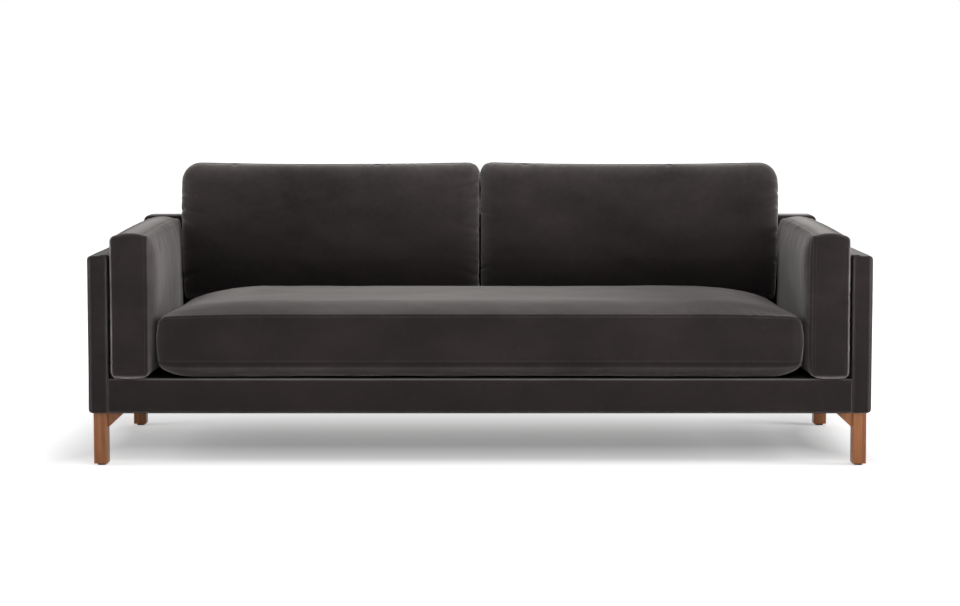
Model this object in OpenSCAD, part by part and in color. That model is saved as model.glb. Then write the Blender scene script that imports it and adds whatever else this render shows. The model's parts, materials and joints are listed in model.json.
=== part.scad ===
// Tuxedo sofa: arms and back of one family, a padded frame, and five loose boxed cushions.
// The front faces -Y, the floor is at z = 0 and the origin is in the middle of the footprint.

/* [Overall] */
// Width over the arm panels
sofa_w = 2286; // [1800:1:2600]
// Depth of the upholstered frame
frame_d = 932; // [880:1:1050]
// Underside of the frame above the floor
frame_z = 156; // [130:1:200]
// Height of the front rail
rail_h = 99; // [85:1:130]
// Height of the arm panels above the underside of the frame
arm_h = 459; // [420:1:520]
// Height of the back above the underside of the frame
back_h = 534; // [490:1:600]
// Thickness of an arm panel
arm_t = 60; // [50:1:80]
// Thickness of the back at its top edge
back_t = 117; // [100:1:140]
// Lean of the inside back in degrees
back_lean = 5; // [3:0.5:8]

/* [Upholstery] */
// Padding and velvet over the frame
pad_t = 8; // [6:0.5:10]
// Velvet turned under the front rail
turn_t = 1.5; // [1:0.5:3]
// Hold of the velvet on the top of the front rail
rail_lip = 9; // [5:1:9]
// Radius of the padded edges of the frame
edge_r = 8; // [6:0.5:12]
// Radius of the top corners of the back
back_corner_r = 20; // [12:1:30]
// Thickness of the decking cloth
deck_t = 1.5; // [1:0.5:3]
// Thickness of the felt on the springs
felt_t = 3; // [2:0.5:4]
// Thickness of the dust cover
dust_t = 1; // [0.6:0.2:2]
// Margin of the dust cover inside the frame's outline
dust_margin = 4; // [2:1:10]

/* [Cushions] */
// How far the cushions stand proud of the front rail
cushion_proud = 8; // [4:1:16]
// Fibre wrap and velvet round a cushion's core
wrap_t = 25; // [22:1:32]
// Outward bulge of the boxing between its seams
boxing_bulge = 5; // [3:1:8]
// Height of the seat cushion's boxing
seat_boxing = 140; // [110:1:160]
// Crown of the seat cushion above its top seam
seat_crown = 30; // [20:1:45]
// Run of the seat cushion's crown from its seam to the level middle
seat_crown_run = 130; // [90:1:170]
// Swell of the seat cushion below its bottom seam
seat_under = 46; // [30:1:55]
// Corner radius of the seat cushion
seat_corner_r = 60; // [50:1:75]
// Height of the back cushions above the floor
cushion_top = 860; // [800:1:940]
// Width of the back cushions' boxing
back_boxing = 128; // [100:1:145]
// Crown of the back cushions at the front
back_crown = 32; // [20:1:45]
// Crown of the back cushions at the rear
back_rear_crown = 16; // [10:1:24]
// How far the seat cushion flattens the underside of the back cushions
back_sink = 36; // [20:1:45]
// Corner radius of the back cushions
back_cushion_r = 58; // [50:1:75]
// Width of the arm cushions' boxing
arm_boxing = 92; // [80:1:110]
// Crown of the arm cushions on the seat side
arm_crown = 25; // [16:1:34]
// Crown of the arm cushions against the arm panel
arm_outer_crown = 16; // [10:1:22]
// Height of the arm cushions' top corners above the frame's underside
arm_cushion_h = 521; // [470:1:580]
// Corner radius of the arm cushions
arm_cushion_r = 36; // [32:1:50]
// Draw-in of a cushion's sides between its corners
draw_in = 5; // [2:1:9]
// Rise of the arm cushions' top between its corners
arm_top_rise = 10; // [4:1:16]

/* [Frame timber] */
// Thickness of the boards
board_t = 25; // [20:1:30]
// Width of the posts and top rails of the arms
post_w = 50; // [40:1:60]
// Number of studs inside an arm
arm_studs = 3; // [3:1:5]
// Number of studs inside the back
back_studs = 3; // [2:1:6]
// Number of cross rails under the seat
cross_rails = 2; // [2:1:4]
// Drop of the cross rails below the springs
cross_drop = 40; // [25:1:50]
// Leg length of the corner blocks
block_w = 62; // [50:1:80]

/* [Springs] */
// Number of sinuous springs
springs = 9; // [6:1:10]
// Diameter of the spring wire
wire_d = 4; // [3:0.2:4.6]
// Half loops along one spring
half_loops = 22; // [16:2:28]
// Width of a sinuous spring
spring_w = 60; // [50:1:80]
// Thickness of the clip plate
clip_t = 1; // [0.6:0.2:1.6]
// Width of a spring clip
clip_w = 22; // [16:1:30]
// Diameter of the tie wires
tie_d = 3; // [2:0.2:4]
// Thickness of the back webbing
web_t = 2; // [1:0.5:3]
// Width of the back webbing
web_w = 50; // [40:1:70]

/* [Legs] */
// Width of a leg, side to side
leg_w = 40; // [34:1:55]
// Depth of a leg, front to back
leg_d = 50; // [40:1:65]
// Set-back of a leg from the outer side of the arm
leg_side = 13; // [8:1:20]
// Set-back of the front legs from the front rail
leg_front = 12; // [6:1:20]
// Set-back of the rear legs from the rear of the back
leg_rear = 4; // [2:1:16]
// Radius of the legs' long edges
leg_r = 3; // [1:0.5:6]
// Diameter of the glides
glide_d = 26; // [18:1:34]
// Height of the glides
glide_h = 6; // [3:1:10]
// Reach of a leg brace towards the middle
brace_run = 45; // [35:1:55]
// Drop of a leg brace down the leg
brace_drop = 42; // [30:1:55]
// Thickness of a leg brace
brace_t = 24; // [18:1:32]
// Blunt tip of a leg brace
brace_tip = 4; // [2:1:7]

/* [Fixings] */
// Diameter of the bolts
bolt_d = 8; // [6:1:10]
// Clearance of a bolt in its bore, on the diameter
bolt_play = 0.4; // [0.2:0.1:0.8]
// Length of a leg bolt inside the leg
leg_bolt_down = 35; // [25:1:50]
// Length of a leg bolt inside the arm frame
leg_bolt_up = 45; // [30:1:60]
// Depth of the frame bolts in the timber behind the board
bolt_bite = 22; // [15:1:24]
// Diameter of the bolt heads
head_d = 18; // [14:1:22]
// Height of the bolt heads
head_h = 5; // [4:0.5:7]

/* [Zips] */
// Width of a zip's tape
zip_w = 26; // [20:1:30]
// Thickness of a zip's tape
tape_t = 1.5; // [1:0.5:2]
// Width of a zip's chain of teeth
chain_w = 6; // [4:0.5:8]
// Height of the chain on the tape
chain_h = 2; // [1.5:0.5:3]
// Depth of the recess that holds the zip
zip_recess = 8; // [8:0.5:10]
// Length of the slider
pull_l = 14; // [10:1:20]
// Width of the slider
pull_w = 11; // [9:1:14]
// Height of the slider over the chain
pull_h = 3; // [2:0.5:3.5]
// Bare stretch between a zip's end and the cushion's corner
zip_margin = 90; // [80:1:140]

/* [Hidden] */
$fn = 48;
// Gap between a cushion and what it rests on
rest_gap = 0.3;
// Gap between neighbouring cushions
side_gap = 1;
// Gap between the two back cushions
middle_gap = 3;
// Play of the webbing between the velvet and the timber
web_play = 0.1;
// Overrun of every cut
cut = 2;

velvet = [0.19, 0.17, 0.165];
walnut = [0.56, 0.37, 0.24];
timber = [0.80, 0.68, 0.48];
foam = [0.93, 0.90, 0.78];
steel = [0.62, 0.63, 0.65];
felt_grey = [0.55, 0.55, 0.52];
dark_cloth = [0.12, 0.12, 0.13];

front_y = -(frame_d - cushion_proud) / 2;
back_y = front_y + frame_d;
cushion_y = front_y - cushion_proud;
rail_top = frame_z + rail_h;
board_top = rail_top - pad_t;
deck_top = rail_top + deck_t;
seat_z = deck_top + rest_gap;
seat_top = seat_z + seat_under + seat_boxing + seat_crown;
back_cushion_z = seat_top + rest_gap;
back_top = frame_z + back_h;
arm_in = sofa_w / 2 - arm_t;
wire_z = board_top + clip_t + wire_d / 2;

arm_cushion_t = arm_outer_crown + arm_boxing + arm_crown;
pit_half = arm_in - 2 * side_gap - arm_cushion_t;
seat_half = pit_half - side_gap;
back_cushion_t = back_rear_crown + back_boxing + back_crown;

// Front face of the back at a height z: it leans back above the deck
function back_face(z) = back_y - back_t - (back_top - max(z, rail_top)) * tan(back_lean);
// Rear face of the seat cushion at a height z: it runs back to the inside back
function seat_rear(z) = back_face(z) - rest_gap - side_gap;
// Front of the timber in the back below the deck
post_y = back_face(rail_top) + pad_t + web_t;

side_names = ["left", "right"];
end_names = ["front", "rear"];
function leg_y(e) = e == 0 ? front_y + leg_front + leg_d / 2 : back_y - leg_rear - leg_d / 2;
leg_x = sofa_w / 2 - leg_side - leg_w / 2;

module on_side(s) {
    mirror([s == 0 ? 1 : 0, 0, 0]) children();
}

module round_rect(w, h, r) {
    translate([r, 0]) square([w - 2 * r, h]);
    translate([0, r]) square([w, h - 2 * r]);
    for (x = [r, w - r], y = [r, h - r]) translate([x, y]) circle(r);
}

// Block with rounded upright edges and rounded top edges
module padded_block(w, d, h, r) {
    intersection() {
        linear_extrude(h) round_rect(w, d, r);
        translate([0, d, -r]) rotate([90, 0, 0]) linear_extrude(d) round_rect(w, h + r, r);
        translate([0, 0, -r]) rotate([90, 0, 90]) linear_extrude(w) round_rect(d, h + r, r);
    }
}

// Profile of the back in depth and height, drawn in by a pad at the rear and top and by
// front_pad at the inside back
module back_profile(pad, front_pad, r) {
    rear = back_y - pad;
    top = back_top - pad;
    nose_z = top - r;
    nose_y = back_face(nose_z) + front_pad + r / cos(back_lean);
    polygon([
        [rear, frame_z], [rear, nose_z], [rear - r, top], [nose_y, top],
        [nose_y - r * cos(back_lean), nose_z + r * sin(back_lean)],
        [back_face(rail_top) + front_pad, rail_top],
        [back_face(rail_top) + front_pad, frame_z]
    ]);
    translate([rear - r, nose_z]) circle(r);
    translate([nose_y, nose_z]) circle(r);
}

module along_x(length) {
    translate([-length / 2, 0, 0]) rotate([90, 0, 90]) linear_extrude(length) children();
}

// Bolts that hold the arms and the back to the seat box
arm_bolt_ys = [for (e = [0, 1]) e == 0 ? front_y + pad_t + board_t + block_w + bolt_d * 2
    : post_y - board_t - block_w - bolt_d * 2];
arm_bolt_z = frame_z + rail_h / 2;
back_bolt_shares = [-0.7, 0, 0.7];

module arm_bolts(d, head, extra) {
    for (y = arm_bolt_ys) translate([arm_in - board_t, y, arm_bolt_z]) rotate([0, 90, 0]) {
        translate([0, 0, -extra]) cylinder(d = d, h = board_t + pad_t + bolt_bite + extra);
        if (head) translate([0, 0, -head_h]) cylinder(d = head_d, h = head_h);
    }
}

module back_bolts(d, head, extra) {
    for (k = back_bolt_shares) translate([k * arm_in, post_y - board_t, arm_bolt_z])
        rotate([-90, 0, 0]) {
            translate([0, 0, -extra]) cylinder(d = d, h = board_t + bolt_bite + extra);
            if (head) translate([0, 0, -head_h]) cylinder(d = head_d, h = head_h);
        }
}

module arm_panel(s) {
    color(velvet) on_side(s) difference() {
        translate([arm_in, front_y, frame_z]) padded_block(arm_t, frame_d, arm_h, edge_r);
        translate([arm_in + pad_t, front_y + pad_t, frame_z - cut])
            cube([arm_t - 2 * pad_t, frame_d - 2 * pad_t, arm_h - pad_t + cut]);
        arm_bolts(bolt_d + bolt_play, false, cut);
    }
}

module arm_frame(s) {
    length = frame_d - 2 * pad_t;
    height = arm_h - pad_t;
    window_z = board_top - frame_z;
    window_h = height - window_z - post_w;
    window_w = (length - 2 * post_w - arm_studs * board_t) / (arm_studs + 1);
    color(timber) on_side(s) difference() {
        translate([arm_in + pad_t, front_y + pad_t, frame_z]) rotate([90, 0, 90])
            linear_extrude(arm_t - 2 * pad_t) difference() {
                square([length, height]);
                for (i = [0:arm_studs]) translate([post_w + i * (window_w + board_t), window_z])
                    square([window_w, window_h]);
            }
        arm_bolts(bolt_d + bolt_play, false, cut);
        for (e = [0, 1]) translate([leg_x, leg_y(e), frame_z - cut])
            cylinder(d = bolt_d + bolt_play, h = leg_bolt_up + cut);
    }
}

module back_cover() {
    half = arm_in;
    color(velvet) difference() {
        intersection() {
            along_x(2 * half) back_profile(0, 0, edge_r);
            translate([-half, back_y, frame_z - back_corner_r]) rotate([90, 0, 0])
                linear_extrude(frame_d) round_rect(2 * half, back_h + back_corner_r, back_corner_r);
        }
        along_x(2 * (half - pad_t)) back_profile(pad_t, pad_t, edge_r);
        translate([-half + pad_t, front_y, frame_z - cut])
            cube([2 * (half - pad_t), back_y - pad_t - front_y, board_top - frame_z + cut]);
        translate([-half - cut, front_y, frame_z - cut])
            cube([2 * (half + cut), post_y - front_y, board_top - frame_z + cut]);
    }
}

module back_frame() {
    half = arm_in - pad_t;
    bay = (2 * half - board_t) / (back_studs + 1);
    mid_z = (board_top + back_top - pad_t - board_t) / 2;
    color(timber) difference() {
        intersection() {
            along_x(2 * half) back_profile(pad_t, pad_t + web_t, edge_r);
            union() {
                for (i = [0:back_studs + 1]) translate([-half + i * bay, front_y, frame_z])
                    cube([board_t, frame_d, back_h]);
                translate([-half, front_y, back_top - pad_t - board_t])
                    cube([2 * half, frame_d, board_t]);
                translate([-half, front_y, mid_z])
                    cube([2 * half, back_face(mid_z) + pad_t + web_t + board_t - front_y, post_w]);
                for (y = [post_y, back_y - pad_t - board_t]) translate([-half, y, frame_z])
                    cube([2 * half, board_t, board_top - frame_z]);
            }
        }
        back_bolts(bolt_d + bolt_play, false, cut);
    }
}

// Elastic webbing stretched across the inside back, under the velvet
module back_webbing() {
    low = board_top + post_w;
    step = (back_top - pad_t - board_t - low - web_w) / 2;
    color(dark_cloth) for (i = [0:2]) {
        z1 = low + i * step;
        z2 = z1 + web_w;
        front = pad_t + web_play;
        rear = pad_t + web_t - web_play;
        along_x(2 * (arm_in - pad_t)) polygon([
            [back_face(z1) + front, z1], [back_face(z1) + rear, z1],
            [back_face(z2) + rear, z2], [back_face(z2) + front, z2]
        ]);
    }
}

module front_rail() {
    color(timber) translate([-arm_in, front_y + pad_t, frame_z + turn_t])
        cube([2 * arm_in, board_t, board_top - frame_z - turn_t]);
}

module front_rail_cover() {
    depth = pad_t + board_t;
    color(velvet) along_x(2 * arm_in) difference() {
        intersection() {
            translate([front_y, frame_z]) round_rect(depth + edge_r, rail_h, edge_r);
            translate([front_y, frame_z]) square([depth, rail_h]);
        }
        translate([front_y + pad_t, frame_z + turn_t])
            square([board_t + cut, board_top - frame_z - turn_t]);
        translate([front_y + pad_t + rail_lip, frame_z + turn_t]) square([board_t, rail_h]);
    }
}

module rear_rail() {
    color(timber) difference() {
        translate([-arm_in, post_y - board_t, frame_z])
            cube([2 * arm_in, board_t, board_top - frame_z]);
        back_bolts(bolt_d + bolt_play, false, cut);
    }
}

inner_front = front_y + pad_t + board_t;
inner_rear = post_y - board_t;

module side_rail(s) {
    color(timber) on_side(s) difference() {
        translate([arm_in - board_t, inner_front, frame_z])
            cube([board_t, inner_rear - inner_front, board_top - frame_z]);
        arm_bolts(bolt_d + bolt_play, false, cut);
    }
}

module cross_rail_set() {
    pitch = 2 * (arm_in - board_t) / (cross_rails + 1);
    color(timber) for (i = [1:cross_rails])
        translate([-arm_in + board_t + i * pitch - board_t / 2, inner_front, frame_z])
            cube([board_t, inner_rear - inner_front, board_top - frame_z - cross_drop]);
}

module corner_blocks() {
    h = board_top - frame_z - cross_drop / 2;
    color(timber) for (s = [0, 1]) on_side(s) translate([arm_in - board_t, 0, frame_z]) {
        translate([0, inner_front]) linear_extrude(h)
            polygon([[0, 0], [0, block_w], [-block_w, 0]]);
        translate([0, inner_rear]) linear_extrude(h)
            polygon([[0, 0], [-block_w, 0], [0, -block_w]]);
    }
}

// Springs: straight runs across, joined by half circles, gripped by a clip at each end.
// The wire is drawn square, because the decking hides it.
spring_front = inner_front - board_t / 2;
spring_rear = inner_rear + clip_t + wire_d;
loop_r = (spring_rear - spring_front) / half_loops / 2;
run_half = spring_w / 2 - loop_r - wire_d / 2;
spring_pitch = (2 * (arm_in - board_t) - 2 * spring_w) / (springs - 1);
function spring_x(i) = -(arm_in - board_t) + spring_w + i * spring_pitch;

// Edge of the wire round half loop k, on its left for a negative offset
loop_steps = 4;
function loop_edge(k, off) = let (
    side = k % 2 == 0 ? 1 : -1,
    r = loop_r + side * off
) [for (i = [0:loop_steps]) let (t = 180 * i / loop_steps - 90)
    [side * (run_half + r * cos(t)), spring_front + (2 * k + 1) * loop_r + r * sin(t)]];

function spring_edge(off) = concat(
    [[-run_half, spring_front - off]],
    [for (k = [0:half_loops - 1]) each loop_edge(k, off)],
    [[run_half, spring_rear - off]]
);

module sinuous_spring() {
    right = spring_edge(wire_d / 2);
    translate([0, 0, -wire_d / 2]) linear_extrude(wire_d)
        polygon(concat(spring_edge(-wire_d / 2), [for (i = [len(right) - 1:-1:0]) right[i]]));
}

module seat_springs() {
    color(steel) for (i = [0:springs - 1]) translate([spring_x(i), 0, wire_z]) sinuous_spring();
}

// A clip is a plate bent over the wire: its open side faces the spring
module spring_clip() {
    reach = wire_d * 2;
    rotate([90, 0, 90]) translate([0, 0, -clip_w / 2]) linear_extrude(clip_w) {
        translate([-wire_d / 2 - clip_t, -wire_d / 2 - clip_t]) square([reach, clip_t]);
        translate([-wire_d / 2 - clip_t, -wire_d / 2 - clip_t])
            square([clip_t, wire_d + 2 * clip_t]);
        translate([-wire_d / 2 - clip_t, wire_d / 2]) square([wire_d + clip_t, clip_t]);
    }
}

module spring_clips() {
    color(steel) for (i = [0:springs - 1]) {
        translate([spring_x(i), spring_front, wire_z]) spring_clip();
        translate([spring_x(i), spring_rear, wire_z]) rotate([0, 0, 180]) spring_clip();
    }
}

tie_shares = [0.33, 0.67];

module spring_ties() {
    length = spring_pitch * (springs - 1) + spring_w;
    color(steel) for (k = tie_shares)
        translate([-length / 2, spring_front + k * (spring_rear - spring_front),
            wire_z - wire_d / 2 - tie_d / 2 - rest_gap])
            rotate([0, 90, 0]) cylinder(d = tie_d, h = length);
}

module seat_felt() {
    y1 = spring_front + wire_d * 2;
    y2 = spring_rear - wire_d * 2;
    z = wire_z + wire_d / 2;
    color(felt_grey) translate([-arm_in, y1, z])
        cube([2 * arm_in, y2 - y1, min(felt_t, rail_top - z)]);
}

module deck_cloth() {
    color(dark_cloth) translate([-arm_in, front_y + pad_t, rail_top])
        cube([2 * arm_in, back_face(rail_top) - front_y - pad_t, deck_t]);
}

module dust_cover() {
    w = 2 * (arm_in - dust_margin);
    color(dark_cloth) translate([-w / 2, front_y + dust_margin, frame_z - dust_t])
        cube([w, frame_d - 2 * dust_margin, dust_t]);
}

module frame_bolts() {
    color(steel) {
        for (s = [0, 1]) on_side(s) arm_bolts(bolt_d, true, 0);
        back_bolts(bolt_d, true, 0);
    }
}

module leg(s, e) {
    color(walnut) on_side(s) difference() {
        translate([leg_x - leg_w / 2, leg_y(e) - leg_d / 2, glide_h])
            linear_extrude(frame_z - glide_h) round_rect(leg_w, leg_d, leg_r);
        translate([leg_x, leg_y(e), frame_z - leg_bolt_down])
            cylinder(d = bolt_d + bolt_play, h = leg_bolt_down + cut);
    }
}

module leg_brace(s, e) {
    top = frame_z - dust_t;
    color(walnut) on_side(s) translate([leg_x - leg_w / 2, leg_y(e) + brace_t / 2, top])
        rotate([90, 0, 0]) linear_extrude(brace_t) polygon([
            [0, 0], [-brace_run, 0], [-brace_run, -brace_tip],
            [-brace_tip, -brace_drop], [0, -brace_drop]
        ]);
}

module glides() {
    color(dark_cloth) for (s = [0, 1], e = [0, 1]) on_side(s) translate([leg_x, leg_y(e), 0])
        cylinder(d = glide_d, h = glide_h);
}

module leg_bolts() {
    color(steel) for (s = [0, 1], e = [0, 1]) on_side(s)
        translate([leg_x, leg_y(e), frame_z - leg_bolt_down])
            cylinder(d = bolt_d, h = leg_bolt_down + leg_bolt_up);
}

// Cushion form: rings round a boxing strip, closed by a crowned panel on each side.
// u and v run along the panels and w across the boxing.
corner_steps = 4;
long_steps = 8;
short_steps = 4;
crown_steps = 4;
boxing_steps = 4;
core_r = 15;

function mix(p, q, t) = p + (q - p) * t;

// Rounded rectangle of half sizes a and b, anticlockwise
function ring(a, b, r) = let (
    rc = min(r, a, b),
    arc = function(q, i) let (t = 90 * (q + i / corner_steps))
        [(q == 0 || q == 3 ? 1 : -1) * (a - rc) + rc * cos(t),
            (q < 2 ? 1 : -1) * (b - rc) + rc * sin(t)]
) [for (q = [0:3]) let (n = q % 2 == 0 ? long_steps : short_steps)
    each concat([for (i = [0:corner_steps]) arc(q, i)],
        [for (j = [1:n - 1]) mix(arc(q, corner_steps), arc((q + 1) % 4, 0), j / n)])];

// Inset and height of the rings, from the lower panel's middle to the upper one's
function cushion_levels(box, low, low_run, high, high_run, bulge) = concat(
    [for (i = [crown_steps:-1:0]) let (t = 90 * i / crown_steps)
        [low_run * (1 - cos(t)), -box / 2 - low * sin(t)]],
    [for (i = [1:boxing_steps - 1]) let (t = i / boxing_steps)
        [-bulge * sin(180 * t), box * (t - 1 / 2)]],
    [for (i = [0:crown_steps]) let (t = 90 * i / crown_steps)
        [high_run * (1 - cos(t)), box / 2 + high * sin(t)]]
);

// Sides drawn in along u and v between the corners
function drawn(p, a, b, pull_u, pull_v) = [
    p[0] * (1 - pull_u / a * (1 - pow(p[1] / b, 2))),
    p[1] * (1 - pull_v / b * (1 - pow(p[0] / a, 2)))
];

module cushion_form(a, b, r, levels, pull_u, pull_v, place) {
    rings = [for (l = levels) [for (p = ring(a - l[0], b - l[0], max(r - l[0], core_r)))
        let (q = drawn(p, a, b, pull_u, pull_v)) place([q[0], q[1], l[1]])]];
    n = len(rings[0]);
    last = len(levels) - 1;
    centres = [place([0, 0, levels[0][1]]), place([0, 0, levels[last][1]])];
    points = concat([for (g = rings) each g], centres);
    lower = len(points) - 2;
    polyhedron(points = points, faces = concat(
        [for (k = [0:last - 1], i = [0:n - 1]) let (j = (i + 1) % n)
            each [[k * n + i, (k + 1) * n + i, (k + 1) * n + j],
                [k * n + i, (k + 1) * n + j, k * n + j]]],
        [for (i = [0:n - 1]) [lower, i, (i + 1) % n]],
        [for (i = [0:n - 1]) [lower + 1, last * n + (i + 1) % n, last * n + i]]
    ));
}

// Zip, drawn flat with its outer side up at z = 0
module zip_slot(length) {
    translate([-length / 2, -zip_w / 2, -zip_recess]) cube([length, zip_w, zip_recess + cut]);
}

module zip_strip(length) {
    translate([-length / 2, -zip_w / 2, -zip_recess]) cube([length, zip_w, tape_t]);
    translate([-length / 2, -chain_w / 2, -zip_recess + tape_t]) cube([length, chain_w, chain_h]);
}

// Slider: two plates and a pull tab over the chain
module zip_slider(length) {
    z = -zip_recess + tape_t + rest_gap;
    translate([-length / 2, -pull_w / 2, z]) difference() {
        cube([pull_l, pull_w, chain_h + pull_h - rest_gap]);
        translate([-cut, (pull_w - chain_w) / 2 - rest_gap, -cut])
            cube([pull_l + 2 * cut, chain_w + 2 * rest_gap, chain_h + cut]);
    }
}

// Seat cushion
seat_low_run = 60;
seat_mid_z = seat_z + seat_under + seat_boxing / 2;
seat_len = seat_rear(seat_mid_z) - cushion_y;
seat_a = seat_half - boxing_bulge;
seat_b = seat_len / 2 - boxing_bulge;

function seat_place(p) = let (
    z = max(p[2] + seat_mid_z, seat_z),
    share = (p[1] + seat_len / 2) / seat_len
) [p[0], cushion_y + share * (seat_rear(z) - cushion_y), z];

module at_seat_zip() {
    translate([0, seat_rear(seat_mid_z), seat_mid_z]) rotate([-90, 0, 0]) children();
}
seat_zip_l = 2 * (seat_half - zip_margin);

module seat_cushion_core(grow = 0) {
    depth = seat_rear(seat_z + seat_under) - wrap_t - cushion_y - wrap_t;
    color(foam) translate([-seat_half + wrap_t, cushion_y + wrap_t, seat_z + seat_under])
        linear_extrude(seat_boxing) round_rect(2 * (seat_half - wrap_t), depth, core_r);
}

module seat_cushion_cover() {
    color(velvet) difference() {
        cushion_form(seat_a, seat_b, seat_corner_r,
            cushion_levels(seat_boxing, seat_under, seat_low_run, seat_crown, seat_crown_run,
                boxing_bulge),
            draw_in, draw_in, function(p) seat_place(p));
        seat_cushion_core();
        at_seat_zip() zip_slot(seat_zip_l);
    }
}

// Back cushions stand on the seat cushion and lean on the inside back
back_run_share = 0.62;
back_length = (cushion_top - back_cushion_z - back_cushion_t / 2 * sin(back_lean))
    / cos(back_lean);
back_a = (pit_half - side_gap - middle_gap / 2) / 2 - boxing_bulge;
back_b = (back_length + back_sink) / 2 - boxing_bulge;
back_x = middle_gap / 2 + back_a + boxing_bulge;
back_mid_w = back_rear_crown + back_boxing / 2;

function back_point(p) = [
    p[0],
    back_face(back_cushion_z) - rest_gap + p[1] * sin(back_lean) - p[2] * cos(back_lean),
    back_cushion_z + p[1] * cos(back_lean) + p[2] * sin(back_lean)
];

function back_place(p) = let (
    q = back_point([p[0] + back_x, p[1] + (back_length - back_sink) / 2, p[2] + back_mid_w])
) [q[0], q[1], max(q[2], back_cushion_z)];

module lean_frame() {
    translate([0, back_face(back_cushion_z) - rest_gap, back_cushion_z])
        rotate([-back_lean, 0, 0]) children();
}

module at_back_zip() {
    translate([back_x, back_face(back_cushion_z) - rest_gap - back_mid_w, back_cushion_z])
        rotate([180, 0, 0]) children();
}
back_zip_l = 2 * (back_a - zip_margin);

module back_cushion_fill(s) {
    color(foam) on_side(s) lean_frame()
        translate([back_x - back_a + wrap_t, -back_rear_crown, wrap_t + zip_recess])
            rotate([90, 0, 0]) linear_extrude(back_boxing)
                round_rect(2 * (back_a - wrap_t), back_length - 2 * wrap_t - zip_recess, core_r);
}

module back_cushion_cover(s) {
    color(velvet) difference() {
        on_side(s) cushion_form(back_a, back_b, back_cushion_r,
            cushion_levels(back_boxing, back_rear_crown, back_b * back_run_share, back_crown,
                back_b * back_run_share, boxing_bulge),
            draw_in, draw_in, function(p) back_place(p));
        back_cushion_fill(s);
        on_side(s) at_back_zip() zip_slot(back_zip_l);
    }
}

// Arm cushions stand on the deck between an arm panel and the seat cushion
arm_run_share = 0.7;
arm_mid_x = arm_in - side_gap - arm_outer_crown - arm_boxing / 2;
arm_len = back_face(rail_top) - rest_gap - cushion_y;
arm_a = arm_len / 2 - boxing_bulge;
arm_b = (frame_z + arm_cushion_h - seat_z) / 2;

function arm_place(p) = let (
    z = max(p[1] + seat_z + arm_b, seat_z),
    share = (p[0] + arm_len / 2) / arm_len
) [p[2] + arm_mid_x, cushion_y + share * (back_face(z) - rest_gap - cushion_y), z];

module at_arm_zip() {
    translate([arm_mid_x, cushion_y + arm_len / 2, seat_z]) rotate([180, 0, 90]) children();
}
arm_zip_l = 2 * (arm_a - zip_margin);

module arm_cushion_core(s) {
    color(foam) on_side(s)
        translate([arm_mid_x - arm_boxing / 2, cushion_y + wrap_t, seat_z + wrap_t])
            rotate([90, 0, 90]) linear_extrude(arm_boxing)
                round_rect(arm_len - 2 * wrap_t, 2 * (arm_b - wrap_t), core_r);
}

module arm_cushion_cover(s) {
    color(velvet) difference() {
        on_side(s) cushion_form(arm_a, arm_b, arm_cushion_r,
            cushion_levels(arm_boxing, arm_crown, arm_b * arm_run_share, arm_outer_crown,
                arm_b * arm_run_share, boxing_bulge),
            draw_in, -arm_top_rise, function(p) arm_place(p));
        arm_cushion_core(s);
        on_side(s) at_arm_zip() zip_slot(arm_zip_l);
    }
}

// Names of all nodes
pair_names = ["arm_panel", "arm_frame", "side_rail", "back_cushion_cover", "back_cushion_fill",
    "back_cushion_zip", "back_cushion_zip_slider", "arm_cushion_cover", "arm_cushion_core",
    "arm_cushion_zip", "arm_cushion_zip_slider"];

front_rail();
rear_rail();
cross_rail_set();  // cross_rails
corner_blocks();
back_frame();
back_webbing();
seat_springs();
spring_clips();
spring_ties();
seat_felt();
deck_cloth();
dust_cover();
front_rail_cover();
back_cover();
frame_bolts();
leg_bolts();
glides();
seat_cushion_cover();
seat_cushion_core();
at_seat_zip() zip_strip(seat_zip_l);  // seat_cushion_zip
at_seat_zip() zip_slider(seat_zip_l);  // seat_cushion_zip_slider

for (s = [0, 1]) {
    side = side_names[s];
    arm_panel(s);
    arm_frame(s);
    side_rail(s);
    back_cushion_cover(s);
    back_cushion_fill(s);
    on_side(s) at_back_zip() zip_strip(back_zip_l);
    on_side(s) at_back_zip() zip_slider(back_zip_l);
    arm_cushion_cover(s);
    arm_cushion_core(s);
    on_side(s) at_arm_zip() zip_strip(arm_zip_l);
    on_side(s) at_arm_zip() zip_slider(arm_zip_l);
    for (e = [0, 1]) {
        corner = str(end_names[e], "_", side);
        leg(s, e);
        leg_brace(s, e);
    }
}
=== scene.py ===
"""Tuxedo sofa in dark velvet: its covers, cushions, stitching and legs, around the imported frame."""
import json
import math
import random

import bmesh
import bpy
import numpy as np
from mathutils import Matrix, Vector, kdtree, noise


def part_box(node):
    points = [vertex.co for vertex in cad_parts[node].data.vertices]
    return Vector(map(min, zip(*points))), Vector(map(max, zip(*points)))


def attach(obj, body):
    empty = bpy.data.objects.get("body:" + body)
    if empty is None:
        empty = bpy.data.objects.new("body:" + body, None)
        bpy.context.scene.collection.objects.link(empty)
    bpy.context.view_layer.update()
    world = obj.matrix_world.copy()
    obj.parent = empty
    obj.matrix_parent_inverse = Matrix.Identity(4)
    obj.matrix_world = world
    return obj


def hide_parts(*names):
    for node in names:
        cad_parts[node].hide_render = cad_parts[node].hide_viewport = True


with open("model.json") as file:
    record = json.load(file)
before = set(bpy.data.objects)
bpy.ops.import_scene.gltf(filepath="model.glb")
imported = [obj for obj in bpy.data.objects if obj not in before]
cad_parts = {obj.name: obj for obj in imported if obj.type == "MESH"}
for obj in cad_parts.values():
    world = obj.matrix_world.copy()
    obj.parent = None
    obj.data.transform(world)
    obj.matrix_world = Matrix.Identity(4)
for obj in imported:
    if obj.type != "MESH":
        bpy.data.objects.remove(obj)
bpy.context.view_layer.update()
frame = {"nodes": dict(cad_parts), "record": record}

MM = 0.001
SIDES = {"left": -1, "right": 1}

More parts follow.
